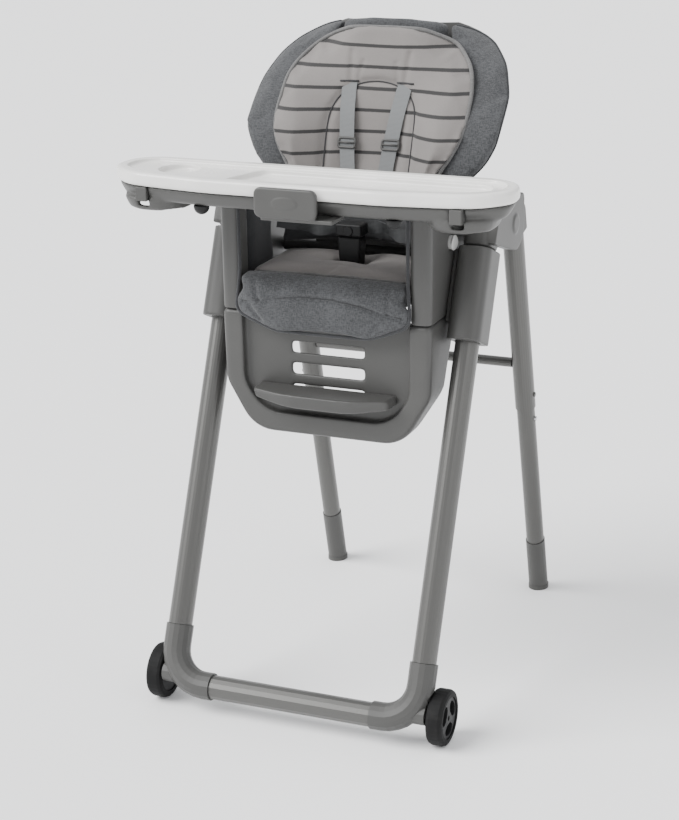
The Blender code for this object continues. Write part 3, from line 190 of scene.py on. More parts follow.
class Finish:
    """A named material built round one Principled BSDF."""

    def __init__(self, name, colour, roughness, **sockets):
        self.material = bpy.data.materials.new(name)
        self.material.use_nodes = True
        self.tree = self.material.node_tree
        self.shader = self.tree.nodes["Principled BSDF"]
        self.material.diffuse_color = (*colour, 1.0)
        sockets = {"Base Color": (*colour, 1.0), "Roughness": roughness, **sockets}
        for name, value in sockets.items():
            self.shader.inputs[name].default_value = value

    def fill(self, socket, value):
        if isinstance(value, Value):
            self.tree.links.new(value.socket, socket)
        elif socket.type == "RGBA" and len(value) == 3:
            socket.default_value = (*value, 1.0)
        else:
            socket.default_value = value

    def node(self, kind, settings=None, *values, output=0, **named):
        made = self.tree.nodes.new(kind)
        for key, value in (settings or {}).items():
            setattr(made, key, value)
        for socket, value in zip(made.inputs, values):
            self.fill(socket, value)
        for key, value in named.items():
            self.fill(made.inputs[key], value)
        return Value(self, made.outputs[output])

    def place(self, scale=(1.0, 1.0, 1.0)):
        """Object coordinates, scaled."""
        here = self.node("ShaderNodeTexCoord", output="Object")
        return self.node("ShaderNodeMapping", {}, Vector=here, Scale=scale)

    def xyz(self, vector):
        made = self.tree.nodes.new("ShaderNodeSeparateXYZ")
        self.tree.links.new(vector.socket, made.inputs[0])
        return [Value(self, made.outputs[k]) for k in range(3)]

    def noise(self, scale, detail=3.0, roughness=0.5, vector=None):
        values = {"Scale": scale, "Detail": detail, "Roughness": roughness}
        return self.node("ShaderNodeTexNoise", {}, Vector=vector or self.place(), **values)

    def blend(self, factor, first, second):
        """Mix two colours."""
        made = self.tree.nodes.new("ShaderNodeMix")
        made.data_type = "RGBA"
        sockets = [s for s in made.inputs if s.enabled]
        for socket, value in zip(sockets, (factor, first, second)):
            self.fill(socket, value)
        return Value(self, next(s for s in made.outputs if s.enabled))

    def paint(self, value):
        self.fill(self.shader.inputs["Base Color"], value)

    def rough(self, value):
        self.fill(self.shader.inputs["Roughness"], value)

    def bump(self, height, strength, distance=0.001):
        values = {"Height": height, "Strength": strength, "Distance": distance}
        self.fill(self.shader.inputs["Normal"], self.node("ShaderNodeBump", {}, **values))


def shade_of(colour, factor):
    return tuple(c * factor for c in colour)


# %% [markdown]
# Most of the chair is satin moulded plastic in one warm grey.  A mould leaves a fine spark-eroded
# grain, which shows as a faint sparkle in the highlight: a fine noise drives a weak bump, and a
# slower one makes the gloss a little uneven, as handled plastic is.

# %% Plastics
GREY = (0.060, 0.0595, 0.0570)


def moulded(name, colour, roughness, grain=0.10, **sockets):
    finish = Finish(name, colour, roughness, **sockets)
    fine = finish.noise(1400.0, 2.0)
    slow = finish.noise(9.0, 3.0)
    worn, clean = shade_of(colour, 0.94), shade_of(colour, 1.05)
    finish.paint(finish.blend(slow.step(0.35, 0.70), worn, clean))
    finish.rough(slow * 0.14 + (roughness - 0.07))
    finish.bump(fine, grain, 0.0004)
    return finish.material


SHELL = moulded("moulded_grey", GREY, 0.42, **{"Specular IOR Level": 0.36})
DARK = moulded("moulded_black", (0.007, 0.007, 0.0073), 0.48, **{"Specular IOR Level": 0.28})
LIGHT = moulded("moulded_light_grey", (0.42, 0.42, 0.41), 0.35, 0.05)
WHITE = moulded("tray_white", (0.78, 0.77, 0.745), 0.26, 0.03,
                **{"Coat Weight": 0.25, "Coat Roughness": 0.12})
WHEEL_HUB = moulded("hub_grey", (0.014, 0.014, 0.0145), 0.5, **{"Specular IOR Level": 0.25})
print("plastics made")

# %% [markdown]
# The legs are steel tube with a metallic grey powder coat.  Tiny flakes catch the light, so a very
# fine noise varies the roughness, and the coat has a slight orange-peel waviness.  Pins are bare
# steel with the fine rings of a lathe, and tyres are dull black rubber with a little dust.

# %% Paint, steel and rubber
def flake_paint(name, colour):
    coat = {"Metallic": 0.55, "Coat Weight": 0.15, "Coat Roughness": 0.25}
    finish = Finish(name, colour, 0.34, **coat)
    flakes = finish.noise(2600.0, 1.0)
    peel = finish.noise(160.0, 2.0)
    finish.paint(finish.blend(flakes.step(0.50, 0.75), colour, shade_of(colour, 1.35)))
    finish.rough(flakes * 0.12 + 0.30)
    finish.bump(peel, 0.05, 0.0006)
    return finish.material


PAINT = flake_paint("frame_paint", (0.086, 0.085, 0.081))


def turned_steel():
    finish = Finish("steel", (0.60, 0.60, 0.61), 0.30, Metallic=1.0)
    rings = finish.noise(300.0, 2.0, vector=finish.place((6.0, 1.0, 1.0)))
    finish.rough(rings * 0.2 + 0.2)
    finish.bump(rings, 0.08, 0.0003)
    return finish.material


STEEL = turned_steel()


def tyre_rubber():
    finish = Finish("tyre_rubber", (0.004, 0.004, 0.0042), 0.7, **{"Specular IOR Level": 0.22})
    dust = finish.noise(40.0, 4.0, 0.6)
    clean, dusty = (0.0035, 0.0035, 0.0037), (0.009, 0.0087, 0.0084)
    finish.paint(finish.blend(dust.step(0.45, 0.75), clean, dusty))
    finish.bump(finish.noise(700.0, 3.0), 0.18, 0.0005)
    return finish.material


RUBBER = tyre_rubber()


def paint_floor():
    finish = Finish("studio_floor", (0.96, 0.96, 0.96), 0.75)
    slow = finish.noise(1.5, 2.0)
    finish.paint(finish.blend(slow, (0.955, 0.955, 0.955), (0.97, 0.97, 0.97)))
    return finish.material


floor_mesh.materials.append(paint_floor())
print("paint, steel and rubber made")

# %% [markdown]
# The charcoal cover is heather cloth: light and dark fibres are spun together, so the colour breaks
# into short flecks along the threads.  Two stretched noises, one along each thread direction, give
# the flecks, and two fine waves give the plain weave that the bump raises.

# %% Cloth
THREAD = 0.0011     # pitch of the weave


def weave(finish):
    """Height of a plain weave: threads across and threads along, in turn over each other."""
    x, y, z = finish.xyz(finish.place())
    across = (x * (2 * math.pi / THREAD)).sine()
    along = ((z + y * 0.5) * (2 * math.pi / THREAD)).sine()
    return across * along * 0.5 + 0.5


def heather(name, dark, light, fleck=0.5):
    finish = Finish(name, dark, 0.9, **{"Sheen Weight": 0.15, "Sheen Roughness": 0.5})
    across = finish.noise(420.0, 3.0, 0.6, finish.place((0.35, 1.0, 1.6)))
    along = finish.noise(420.0, 3.0, 0.6, finish.place((1.6, 1.0, 0.35)))
    slow = finish.noise(14.0, 3.0)
    mixed = (across + along) * 0.5 + (slow - 0.5) * 0.25
    spread = fleck * 0.24
    finish.paint(finish.blend(mixed.step(0.5 - spread, 0.5 + spread), dark, light))
    finish.bump(weave(finish) + across * 0.4, 0.35, 0.0006)
    return finish.material


CHARCOAL = heather("charcoal_heather", (0.027, 0.0280, 0.0297), (0.066, 0.068, 0.0715))
LINING = heather("dark_lining", (0.009, 0.0095, 0.011), (0.021, 0.022, 0.025), 0.9)
PIPING_DARK = heather("piping_charcoal", (0.010, 0.0105, 0.012), (0.024, 0.025, 0.028), 0.9)
PIPING_GREY = heather("piping_grey", (0.085, 0.084, 0.083), (0.150, 0.148, 0.145), 0.9)
print("charcoal cloth made")

# %% [markdown]
# The body support and the seat pad are taupe cotton, and the body support has woven stripes.  They
# run across it at an even pitch, each about 6 mm wide, so a wrapped height coordinate picks them
# out and a little noise frays their edges.  The harness webbing is woven too, with ribs across it.

# %% Striped cotton and webbing
STRIPE_Z, STRIPE_PITCH, STRIPE_W = 0.8995, 0.0345, 0.0062
SHADE_BELOW_Z = 0.806     # below this the support is painted near-black: painted shade under the tray
TAUPE = (0.182, 0.169, 0.161)
STRIPE = (0.014, 0.0137, 0.014)
UNDER_TRAY_SHADE = (0.016, 0.0165, 0.018)
RIB_PITCH, CORD_PITCH = 0.0022, 0.0016


def cotton(name, striped):
    finish = Finish(name, TAUPE, 0.88, **{"Sheen Weight": 0.12, "Sheen Roughness": 0.5})
    slow = finish.noise(11.0, 3.0)
    thread = finish.noise(600.0, 2.0, 0.6, finish.place((0.5, 1.0, 2.0)))
    shades = shade_of(TAUPE, 0.93), shade_of(TAUPE, 1.06)
    base = finish.blend((slow + thread * 0.6).step(0.55, 1.05), *shades)
    if striped:
        _, _, z = finish.xyz(finish.place())
        fray = finish.noise(900.0, 2.0)
        drift = (finish.noise(7.0, 1.0) - 0.5) * 0.006
        distance = (z - STRIPE_Z + drift).wrap(STRIPE_PITCH) + (fray - 0.5) * 0.0014
        mask = 1 - distance.step(STRIPE_W * 0.36, STRIPE_W * 0.56)
        base = finish.blend(mask * 0.95, base, STRIPE)
        # Painted shade: below a set height the support is painted near-black for the shadow under
        # the tray.
        base = finish.blend(z < SHADE_BELOW_Z, base, UNDER_TRAY_SHADE)
    finish.paint(base)
    finish.bump(weave(finish) + thread * 0.3, 0.30, 0.0005)
    return finish.material


STRIPED = cotton("striped_cotton", True)
PLAIN = cotton("plain_cotton", False)


def webbing(name, shaded_valley, lit_crest):
    finish = Finish(name, shaded_valley, 0.75)
    x, y, z = finish.xyz(finish.place())
    ribs = ((z + y * 0.3) * (2 * math.pi / RIB_PITCH)).sine() * 0.5 + 0.5
    cords = (x * (2 * math.pi / CORD_PITCH)).sine() * 0.5 + 0.5
    # Painted light: the colour follows the rib height, with painted shade in the valleys and a
    # painted highlight on the crests.
    finish.paint(finish.blend(ribs * 0.5 + cords * 0.3, shaded_valley, lit_crest))
    finish.bump(ribs + cords * 0.5, 0.45, 0.0006)
    return finish.material


WEBBING = webbing("harness_webbing", (0.110, 0.115, 0.117), (0.195, 0.201, 0.203))
BELT_WEBBING = webbing("belt_webbing", (0.020, 0.021, 0.022), (0.050, 0.052, 0.054))
PIPING_FLAP = heather("piping_mid_grey", (0.016, 0.0165, 0.018), (0.036, 0.037, 0.040), 0.9)
THREADS = heather("seam_thread", (0.014, 0.014, 0.015), (0.034, 0.034, 0.035), 0.9)
print("cotton and webbing made")

# %% [markdown]
# Every CAD node takes the finish of its own kind, by its name.  Most kinds are listed; whatever is
# left is grey moulded plastic.

# %% Finishes of the hard parts
KINDS = (
    (("front_leg", "floor_tube", "rear_leg", "rear_crossbar"), PAINT),
    (("tyre",), RUBBER),
    (("wheel_hub",), WHEEL_HUB),
    (("hinge_pin", "recline_axle", "leg_snap"), STEEL),
    (("seat_release",), LIGHT),
    (("crotch_post", "harness_buckle", "buckle_button", "height_lever", "tray_knob"), DARK),
)
for name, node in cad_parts.items():
    finish = next((made for starts, made in KINDS if name.startswith(starts)), SHELL)
    for slot in node.material_slots:
        slot.material = finish
print(len(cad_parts), "CAD nodes have their finishes")

# %% [markdown]
# A moulding has no sharp edge anywhere, because hot plastic needs a radius to flow round. The CAD
# solid is copied, its loose triangles are merged, it is remeshed in small cells and smoothed a few
# times. That rolls every edge by about the same radius, as a mould does, and leaves flats flat.

# %% Rounded mouldings
MERGE = 1e-5            # CAD triangles share corners to within this
EGG_X, EGG_Y, EGG_Z = 0.0032, 0.0150, 0.0125     # half sizes of the cap
EGG_PROUD, EGG_TAPER = 0.0024, 0.22


def mesh_object(name, mesh, material):
    made = bpy.data.objects.new(name, mesh)
    bpy.context.scene.collection.objects.link(made)
    mesh.materials.clear()
    mesh.materials.append(material)
    return made


def settled(obj):
    """Apply an object's modifiers to its mesh."""
    graph = bpy.context.evaluated_depsgraph_get()
    mesh = bpy.data.meshes.new_from_object(obj.evaluated_get(graph))
    old = obj.data
    obj.modifiers.clear()
    obj.data = mesh
    bpy.data.meshes.remove(old)
    return obj


def copy_of(node, name, material):
    """A merged copy of a CAD node's mesh, as an object at the origin."""
    bm = bmesh.new()
    bm.from_mesh(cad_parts[node].data)
    bmesh.ops.transform(bm, matrix=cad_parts[node].matrix_world, verts=bm.verts)
    bmesh.ops.remove_doubles(bm, verts=bm.verts, dist=MERGE)
    mesh = bpy.data.meshes.new(name)
    bm.to_mesh(mesh)
    bm.free()
    return mesh_object(name, mesh, material)


def remeshed(obj, voxel):
    change = obj.modifiers.new("cells", "REMESH")
    change.mode = "VOXEL"
    change.voxel_size = voxel
    change.use_smooth_shade = True
    material = obj.data.materials[0]
    settled(obj)
    obj.data.materials.clear()
    obj.data.materials.append(material)
    return obj


def relaxed(obj, times, factor=0.5):
    bm = bmesh.new()
    bm.from_mesh(obj.data)
    for _ in range(times):
        bmesh.ops.smooth_vert(bm, verts=bm.verts, factor=factor,
                              use_axis_x=True, use_axis_y=True, use_axis_z=True)
    bm.to_mesh(obj.data)
    bm.free()
    return obj


def shell(node, body, material, voxel=0.0025, times=4):
    obj = relaxed(remeshed(copy_of(node, node + "_moulding", material), voxel), times)
    obj.data.shade_smooth()
    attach(obj, body)
    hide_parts(node)


shell("lower_shell", "seat", SHELL)
shell("tray_base", "tray", SHELL)
shell("footrest", "footrest", SHELL, 0.0020)
shell("tray_release_handle", "tray_handle", SHELL, 0.0012, 3)
for _, label in SIDES:
    shell(f"side_fairing_{label}", "seat", SHELL, 0.0020)
    shell(f"height_sleeve_{label}", "seat", SHELL, 0.0020)
    shell(f"hinge_housing_{label}", "frame", SHELL, 0.0016, 5)
    shell(f"rear_hinge_arm_{label}", "rear_frame", SHELL, 0.0016, 5)


def egg_button(side, label):
    """A light egg-shaped cap on the button's stem; it has room to be pressed in."""
    low, high = (Vector(corner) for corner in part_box(f"seat_release_button_{label}"))
    bm = bmesh.new()
    bmesh.ops.create_uvsphere(bm, u_segments=40, v_segments=24, radius=1.0)
    middle = (low + high) / 2
    outer = high.x if side > 0 else low.x
    for vert in bm.verts:
        x, y, z = vert.co
        narrow = 1.0 - EGG_TAPER * z
        vert.co = (outer + side * EGG_PROUD + x * EGG_X,
                   middle.y + y * EGG_Y * narrow,
                   middle.z + z * EGG_Z)
    mesh = bpy.data.meshes.new(f"egg_button_{label}")
    bm.to_mesh(mesh)
    bm.free()
    mesh.shade_smooth()
    made = mesh_object(f"egg_button_{label}", mesh, LIGHT)
    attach(made, f"seat_button_{label}")


for side, label in SIDES:
    egg_button(side, label)
shell("tray_insert", "tray_top", WHITE, 0.0020, 3)
print("mouldings rounded")

# %% [markdown]
# Padding is foam in a sewn bag: it swells between its seams and is thin at them. The CAD solid is
# remeshed in even cells and smoothed, which shrinks it a little, and is then inflated as cloth with
# a gentle pressure and no gravity. The swelling is capped so that the pad stays in its own room.
# Seams come afterwards, pressed in along a line.

# %% Inflated pads
CLOTH_FRAMES, CLOTH_MASS, CLOTH_QUALITY = 18, 0.25, 4
FACES_FRONT = -0.2      # a front surface's normals point at least this far forwards


def inflated(obj, pressure, cap):
    rest = [v.co.copy() for v in obj.data.vertices]
    cloth = obj.modifiers.new("cloth", "CLOTH")
    cloth.settings.quality = CLOTH_QUALITY
    cloth.settings.mass = CLOTH_MASS
    cloth.settings.use_pressure = True
    cloth.settings.uniform_pressure_force = pressure
    cloth.settings.effector_weights.gravity = 0.0
    cloth.point_cache.frame_end = CLOTH_FRAMES + 1
    for k in range(1, CLOTH_FRAMES + 1):
        bpy.context.scene.frame_set(k)
    material = obj.data.materials[0]
    settled(obj)
    obj.data.materials.clear()
    obj.data.materials.append(material)
    for vert, start in zip(obj.data.vertices, rest):
        moved = vert.co - start
        if moved.length > cap:
            vert.co = start + moved.normalized() * cap
    bpy.context.scene.frame_set(1)


def pad(node, name, material, voxel, pressure, cap):
    obj = remeshed(copy_of(node, name, material), voxel)
    relaxed(obj, 7)
    inflated(obj, pressure, cap)
    relaxed(obj, 2, 0.4)
    obj.data.shade_smooth()
    return obj


def refined(obj):
    change = obj.modifiers.new("smooth", "SUBSURF")
    change.levels = change.render_levels = 1
    settled(obj)
    obj.data.shade_smooth()
    return obj


def distance_to_path(point, path):
    """Shortest distance in (x, z) from a point to a polyline."""
    best = 1.0
    flat = Vector((point.x, point.z))
    for a, b in zip(path, path[1:]):
        a, b = Vector(a), Vector(b)
        share = min(max((flat - a).dot(b - a) / (b - a).length_squared, 0.0), 1.0)
        best = min(best, (flat - a.lerp(b, share)).length)
    return best


def press_seam(obj, path, depth, width):
    """Push the front surface in along a line given in (x, z)."""
    moves = []
    for vert in obj.data.vertices:
        if vert.normal.y < FACES_FRONT:
            away = distance_to_path(vert.co, path)
            if away < width * 3:
                moves.append((vert, depth * math.exp(-(away / width) ** 2)))
    for vert, amount in moves:
        vert.co.y += amount
    obj.data.update()


def soft(obj, body, nodes):
    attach(obj, body)
    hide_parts(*nodes)


print("pad tools ready")

# %% [markdown]
# A piped edge hides the seam where two faces of a cushion meet.  It is a thin cord covered in
# cloth, so it is a round tube along the cushion's own edge.  A curve with a bevel makes the tube
# and is then turned into a mesh.  Webbing is a flat grid with a little thickness.

# %% Tubes and ribbons
TUBE_ROUNDNESS = 3
RIBBON_COLUMNS = 4
RIBBON_CORNER = math.radians(50)


def tube(name, points, radius, material, closed=False):
    curve = bpy.data.curves.new(name, "CURVE")
    curve.dimensions = "3D"
    curve.bevel_depth = radius
    curve.bevel_resolution = TUBE_ROUNDNESS
    curve.use_fill_caps = True
    spline = curve.splines.new("POLY")
    spline.points.add(len(points) - 1)
    for point, place in zip(spline.points, points):
        point.co = (*place, 1.0)
    spline.use_cyclic_u = closed
    holder = bpy.data.objects.new(name + "_curve", curve)
    bpy.context.scene.collection.objects.link(holder)
    graph = bpy.context.evaluated_depsgraph_get()
    mesh = bpy.data.meshes.new_from_object(holder.evaluated_get(graph))
    bpy.data.objects.remove(holder, do_unlink=True)
    bm = bmesh.new()
    bm.from_mesh(mesh)
    bmesh.ops.remove_doubles(bm, verts=bm.verts, dist=1e-6)
    bmesh.ops.recalc_face_normals(bm, faces=bm.faces)
    bm.to_mesh(mesh)
    bm.free()
    mesh.shade_smooth()
    return mesh_object(name, mesh, material)


def smooth_line(points, times=3):
    """Average each point but the ends with its neighbours."""
    for _ in range(times):
        old = list(points)
        for k in range(1, len(old) - 1):
            points[k] = (old[k - 1] + old[k] * 2 + old[k + 1]) / 4
    return points


def resampled(points, spacing):
    """Points at an even spacing along a line, so a tube's rings are even."""
    lengths = [0.0]
    for a, b in zip(points, points[1:]):
        lengths.append(lengths[-1] + (b - a).length)
    count = max(int(lengths[-1] / spacing), 2)
    out, k = [], 0
    for step in range(count + 1):
        target = lengths[-1] * step / count
        while k < len(lengths) - 2 and lengths[k + 1] < target:
            k += 1
        gap = max(lengths[k + 1] - lengths[k], 1e-9)
        out.append(points[k].lerp(points[k + 1], (target - lengths[k]) / gap))
    return out


def ribbon(name, centres, acrosses, width, thickness, material):
    """A flat band along a line; acrosses gives its width direction at each point."""
    bm = bmesh.new()
    rows = len(centres) - 1
    bmesh.ops.create_grid(bm, x_segments=RIBBON_COLUMNS, y_segments=rows, size=0.5)
    for vert in bm.verts:
        k = round((vert.co.y + 0.5) * rows)
        vert.co = centres[k] + acrosses[k] * (width * vert.co.x)
    mesh = bpy.data.meshes.new(name)
    bm.to_mesh(mesh)
    bm.free()
    made = mesh_object(name, mesh, material)
    wall = made.modifiers.new("thickness", "SOLIDIFY")
    wall.thickness = thickness
    wall.offset = 0.0
    settled(made)
    bm = bmesh.new()
    bm.from_mesh(made.data)
    bmesh.ops.recalc_face_normals(bm, faces=bm.faces)
    bm.to_mesh(made.data)
    bm.free()
    made.data.shade_smooth()
    made.data.set_sharp_from_angle(angle=RIBBON_CORNER)
    return made


def edge_line(obj, heights, side):
    """The outermost points of a pad on one side, one for each height."""
    line = []
    verts = [v.co for v in obj.data.vertices]
    for z in heights:
        near = [v for v in verts if abs(v.z - z) < 0.004]
        if near:
            far = max(near, key=lambda v: side * v.x)
            line.append(Vector((far.x, far.y, z)))
    return line


def rim_line(obj, low, count=44):
    """The edge of an upright pad, from low on one side over the top to low on the other."""
    top = max((v.co for v in obj.data.vertices), key=lambda v: v.z)
    rise = top.z - 0.002 - low
    heights = [low + rise * math.sin(math.pi / 2 * k / count) for k in range(count + 1)]
    left, right = edge_line(obj, heights, -1), edge_line(obj, heights, 1)
    middle = [Vector((top.x, top.y, top.z))]
    return left + middle + right[::-1]


print("tube and ribbon tools ready")

# %% [markdown]
# The padded back is three pieces of charcoal heather: a middle panel that rolls over the top, and
# a wing at each side that curves forward round the child.  They are sewn together, so their edges
# nearly meet.  The wings squash towards the middle when the seat is lowered between the hinge
# housings.

# %% Back cover
cover = refined(pad("back_cover", "back_panel_pad", CHARCOAL, 0.006, 3.0, 0.006))
soft(cover, "back", ["back_cover"])
wing_pads = {}
for side, label in SIDES:
    wing_name = f"back_wing_{label}"
    wing = refined(pad(wing_name, wing_name + "_pad", CHARCOAL, 0.005, 3.5, 0.007))
    soft(wing, "back", [f"back_wing_{label}"])
    wing_pads[label] = wing
print("back panel", len(cover.data.vertices), "points")

# %% [markdown]
# The body support is a thinner, striped cushion that lies on the back panel.  Its middle is a
# separate arched panel, so the front is pressed in along that arch and a dark seam lies in the
# groove.  A grey cord pipes its edge.

# %% Body support
ARCH = [(-0.076, 0.800), (-0.078, 0.877), (-0.079, 0.948), (-0.0755, 0.973), (-0.062, 0.9955),
        (-0.031, 1.0115), (0.0, 1.0155), (0.031, 1.0115), (0.062, 0.9955), (0.0755, 0.973),
        (0.079, 0.948), (0.078, 0.877), (0.076, 0.800)]
PIPE_LOW = 0.80         # the support's piping starts at this height
insert = pad("body_support_insert", "body_support_pad", STRIPED, 0.005, 4.0, 0.008)
insert = refined(insert)
press_seam(insert, ARCH, 0.0050, 0.0075)
for side, _ in SIDES:
    press_seam(insert, [(side * 0.049, 1.016), (side * 0.053, 1.062)], 0.0032, 0.0055)
    press_seam(insert, [(side * 0.036, 1.020), (side * 0.030, 1.046)], 0.0020, 0.0045)
soft(insert, "back", ["body_support_insert"])


def front_of(obj):
    tree = BVHTree.FromPolygons([v.co for v in obj.data.vertices],
                                [p.vertices for p in obj.data.polygons])

    def hit(x, z, ahead=0.0):
        place, normal, _, _ = tree.ray_cast(Vector((x, -0.6, z)), Vector((0, 1, 0)))
        return place + Vector((0, -ahead, 0)) if place else None

    return hit


on_insert = front_of(insert)
seam_points = [Vector((*a, 0)).lerp(Vector((*b, 0)), k / 4)
               for a, b in zip(ARCH, ARCH[1:]) for k in range(4)]
seam_line = [p for p in (on_insert(q.x, q.y, 0.0004) for q in seam_points) if p]
seam = tube("body_support_seam", resampled(smooth_line(seam_line), 0.004), 0.0013, THREADS)
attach(seam, "back")
insert_rim = resampled(smooth_line(rim_line(insert, PIPE_LOW), 4), 0.005)
insert_piping = tube("body_support_piping", insert_rim, 0.0034, PIPING_GREY)
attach(insert_piping, "back")
print("body support", len(insert.data.vertices), "points")

# %% [markdown]
# A dark cord pipes the outside of each wing.  It follows the wing's outermost points in a fan of
# directions.  Each wing and its cord then get a mesh of their own.

# %% Piping of the back
WING_FAN = -58, 88      # degrees, from below the widest point to the top
FAN_STEPS = 60


def outer_edge(obj, side, low, high):
    """The furthest points of an upright pad in a fan of directions, from low to high degrees."""
    line = []
    for k in range(FAN_STEPS + 1):
        turn = math.radians(low + (high - low) * k / FAN_STEPS)
        way = Vector((side * math.cos(turn), 0.0, math.sin(turn)))
        far = max((v.co for v in obj.data.vertices), key=lambda c: c.dot(way)).copy()
        if not line or (far - line[-1]).length > 0.002:
            line.append(far)
    return line


for side, label in SIDES:
    wing = wing_pads[label]
    line = resampled(smooth_line(outer_edge(wing, side, *WING_FAN), 3), 0.005)
    cord = tube(f"back_wing_{label}_piping", line, 0.0024, PIPING_DARK)
    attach(cord, "back")
    for piece in (wing, cord):
        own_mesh(piece)
print("wings piped")

# %% [markdown]
# The harness is woven webbing.  Each shoulder strap comes out of a slot in the body support, lies
# on its surface, passes through a slider and runs down towards the buckle.  A ray cast on to the
# cushion finds the surface, so the strap neither floats nor sinks in.

# %% Shoulder straps
STRAP_TOP, STRAP_LOW = (0.0508, 1.0125), (0.0270, 0.806)
STRAP_STEPS = 30
STRAP_CLEAR, STRAP_BOW = 0.0016, 0.0040      # off the cushion: everywhere, and more at mid length
TUCK_DEPTH, TUCK_SHARE = 0.008, 0.04         # the top end dives into its slot
WEB_W, WEB_T = 0.0265, 0.0016
SLIDER_Z, SLIDER_AHEAD = 0.9160, 0.0012
SLIDER_TILT = -math.radians(18.3)
SLIDER_HALF_W, SLIDER_HALF_H, SLIDER_CORNER = 0.0150, 0.0082, 0.004
SLOT_REACH = (-0.016, -0.010, 0.0, 0.010, 0.016)


def strap_line(side):
    """Centres of a shoulder strap, from its slot down towards the buckle."""
    centres = []
    for k in range(STRAP_STEPS + 1):
        share = k / STRAP_STEPS
        x = side * (STRAP_TOP[0] + (STRAP_LOW[0] - STRAP_TOP[0]) * share)
        z = STRAP_TOP[1] + (STRAP_LOW[1] - STRAP_TOP[1]) * share
        hits = [on_insert(x + dx, z) for dx in (-WEB_W / 2, 0, WEB_W / 2)]
        bow = STRAP_BOW * math.sin(math.pi * share) ** 2
        ahead = min(h.y for h in hits if h) - STRAP_CLEAR - bow
        tuck = TUCK_DEPTH * max(0.0, 1.0 - share / TUCK_SHARE)
        centres.append(Vector((x, ahead + tuck, z)))
    return smooth_line(centres, 2)


def slider_frame(place):
    """A rounded rectangle that leans as the strap does."""
    corners = []
    wide, high = SLIDER_HALF_W - SLIDER_CORNER, SLIDER_HALF_H - SLIDER_CORNER
    for cx, cz, start in ((1, 1, 0), (-1, 1, 90), (-1, -1, 180), (1, -1, 270)):
        for step in range(5):
            turn = math.radians(start + 22.5 * step)
            corners.append(place @ Vector((cx * wide + SLIDER_CORNER * math.cos(turn), 0.0,
                                           cz * high + SLIDER_CORNER * math.sin(turn))))
    return corners


for side, label in SIDES:
    centres = strap_line(side)
    acrosses = [Vector((1.0, 0.0, 0.0))] * len(centres)
    strap = ribbon(f"shoulder_strap_{label}_web", centres, acrosses, WEB_W, WEB_T, WEBBING)
    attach(strap, "back")
    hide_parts(f"shoulder_strap_{label}")
    at = min(centres, key=lambda c: abs(c.z - SLIDER_Z))
    tilt = (Matrix.Translation((at.x, at.y - SLIDER_AHEAD, at.z))
            @ Matrix.Rotation(SLIDER_TILT, 4, "X"))
    slider = tube(f"strap_slider_{label}", slider_frame(tilt), 0.0023, SHELL, closed=True)
    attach(slider, "back")
    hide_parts(f"strap_adjuster_{label}")
    bar_line = [tilt @ Vector((s * SLIDER_HALF_W, -0.0016, 0.0)) for s in (-1, 0, 1)]
    bar = tube(f"strap_slider_bar_{label}", bar_line, 0.0016, SHELL)
    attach(bar, "back")
    # Painted shade: a dark cord along each slot stands for the shade inside its opening.
    slot_points = [on_insert(side * STRAP_TOP[0] + dx, STRAP_TOP[1] + 0.0014, 0.0002)
                   for dx in SLOT_REACH]
    opening = tube(f"strap_slot_{label}", slot_points, 0.0018, THREADS)
    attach(opening, "back")
print("shoulder straps made")

# %% [markdown]
# The lap belt lies slack across the seat, so it bows back at its ends and ripples a little on each
# side of the buckle.

# %% Lap belt
BELT_STEPS, BELT_HALF = 24, 0.134            # steps to each side, and half the belt's length
BELT_BOW, BELT_RIPPLE, BELT_SAG, BELT_TWIST = 0.0325, 0.0034, 0.006, 0.45


def ramp(value, start, length):
    """0 up to start, 1 from start + length, a straight line between."""
    return min(max((value - start) / length, 0.0), 1.0)


belt_low, belt_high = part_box("lap_belt")
centres, acrosses = [], []
for k in range(2 * BELT_STEPS + 1):
    x = (k / BELT_STEPS - 1.0) * BELT_HALF
    bow = BELT_BOW * ramp(abs(x), 0.034, 0.10) ** 0.8
    slack = ramp(abs(x), 0.030, 0.020)
    ripple = BELT_RIPPLE * slack * math.sin(x * 130.0)
    sag = BELT_SAG * slack * math.sin(x * 41.0 + 0.7)
    centres.append(Vector((x, belt_high[1] - 0.0012 - bow + ripple,
                           (belt_low[2] + belt_high[2]) / 2 + sag)))
    acrosses.append(Vector((0.0, BELT_TWIST * slack * math.sin(x * 83.0), 1.0)).normalized())
belt = ribbon("lap_belt_web", centres, acrosses, WEB_W * 0.85, WEB_T, BELT_WEBBING)
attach(belt, "seat")
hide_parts("lap_belt")
print("lap belt made")

# %% [markdown]
# The seat pad is plain cotton over soft foam.  Its front lip hangs over the edge of the seat and a
# grey cord pipes it.

# %% Seat pad
SEAT_TOP_Z = 0.716      # the lip is looked for above this height
LIP_HALF, LIP_STEPS = 0.136, 48
seat = refined(pad("seat_pad", "seat_cushion", PLAIN, 0.005, 4.0, 0.009))
soft(seat, "seat", ["seat_pad"])

on_seat = [v.co for v in seat.data.vertices if v.co.z > SEAT_TOP_Z]
front = [min((v for v in on_seat if abs(v.x - x) < 0.005), key=lambda v: v.y - v.z * 0.4).copy()
         for x in [-LIP_HALF + 2 * LIP_HALF * k / LIP_STEPS for k in range(LIP_STEPS + 1)]]
lip_line = resampled(smooth_line(front, 5), 0.005)
seat_piping = tube("seat_cushion_piping", lip_line, 0.0028, PIPING_GREY)
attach(seat_piping, "seat")
print("seat pad made")

# %% [markdown]
# The calf flap below the seat is charcoal heather.  An arched seam crosses it, small creases run
# down from the seat, and one cord pipes its rounded lower edge and goes up both sides of the
# opening.  Dark linings cover the insides of the side walls.

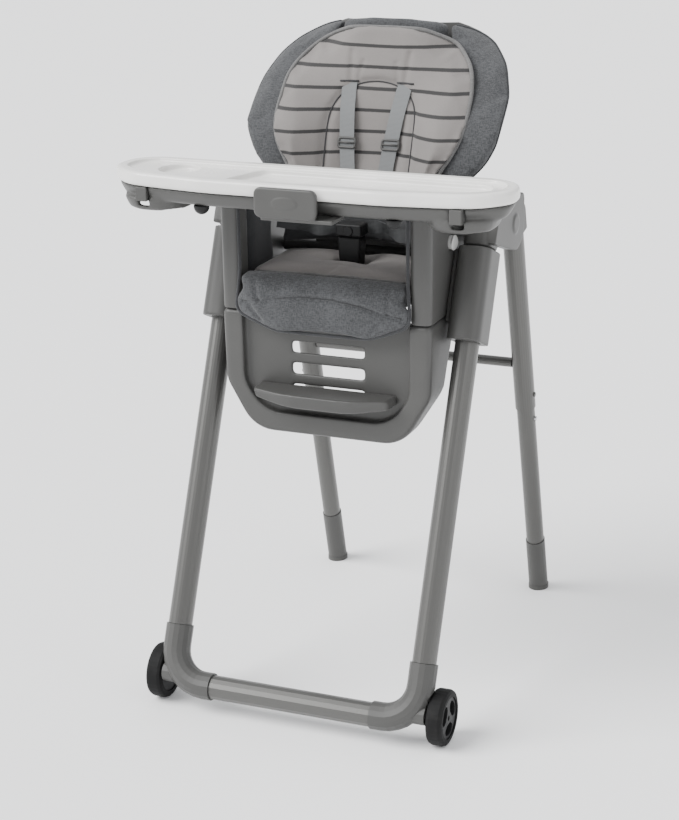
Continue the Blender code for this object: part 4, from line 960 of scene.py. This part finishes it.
# %% Calf flap and linings
FRONT_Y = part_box("side_fairing_left")[0][1]
TOP_OF_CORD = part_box("side_fairing_left")[1][2] - 0.020
CORD_X, CORD_LOW_Z, CORD_STEPS = 0.1490, 0.712, 12
FLAP_TOP_Z = 0.705      # the flap's edge is looked for below this height
FLAP_STEPS = 60
FLAP_SEAM = [(-0.140, 0.684), (-0.110, 0.688), (-0.070, 0.6965), (-0.030, 0.7025), (0.020, 0.7025),
             (0.070, 0.695), (0.110, 0.684), (0.140, 0.678)]
flap = refined(pad("calf_flap", "calf_flap_pad", CHARCOAL, 0.004, 3.0, 0.006))
press_seam(flap, FLAP_SEAM, 0.0035, 0.004)
for crease in ([(-0.118, 0.726), (-0.112, 0.690)], [(0.122, 0.724), (0.118, 0.686)],
               [(-0.126, 0.678), (-0.108, 0.655)], [(0.112, 0.672), (0.088, 0.650)]):
    press_seam(flap, crease, 0.0030, 0.0045)
soft(flap, "seat", ["calf_flap"])
on_flap = front_of(flap)
line = [p for p in (on_flap(a, b, 0.0002) for a, b in FLAP_SEAM) if p]
flap_seam = tube("calf_flap_seam", resampled(smooth_line(line, 1), 0.004), 0.0009, THREADS)
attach(flap_seam, "seat")


def flap_edge(obj):
    """The flap's lower edge: its furthest points in a fan of directions, in one plane."""
    line = []
    for k in range(FLAP_STEPS + 1):
        turn = math.radians(-172 + 164 * k / FLAP_STEPS)
        way = Vector((math.cos(turn), 0.0, math.sin(turn)))
        low = (v.co for v in obj.data.vertices if v.co.z < FLAP_TOP_Z)
        far = max(low, key=lambda c: c.dot(way))
        out = far + way * 0.0016
        line.append(Vector((out.x, FRONT_Y - 0.0085, out.z)))
    return line


def side_cord(side):
    """The cord beside the opening, from under the tray down to the flap's corner."""
    drop = TOP_OF_CORD - CORD_LOW_Z
    heights = [TOP_OF_CORD - drop * k / CORD_STEPS for k in range(CORD_STEPS + 1)]
    return [Vector((side * (CORD_X + 0.0006 * math.sin(z * 90.0)), FRONT_Y - 0.0020, z))
            for z in heights]


edge = side_cord(-1) + flap_edge(flap) + side_cord(1)[::-1]
edge = resampled(smooth_line(edge, 6), 0.005)
flap_piping = tube("calf_flap_piping", edge, 0.0029, PIPING_FLAP)
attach(flap_piping, "seat")

for side, label in SIDES:
    lining_name = f"side_lining_{label}"
    lining = refined(pad(lining_name, lining_name + "_pad", LINING, 0.006, 3.0, 0.003))
    soft(lining, "seat", [f"side_lining_{label}"])
print("calf flap and linings made")
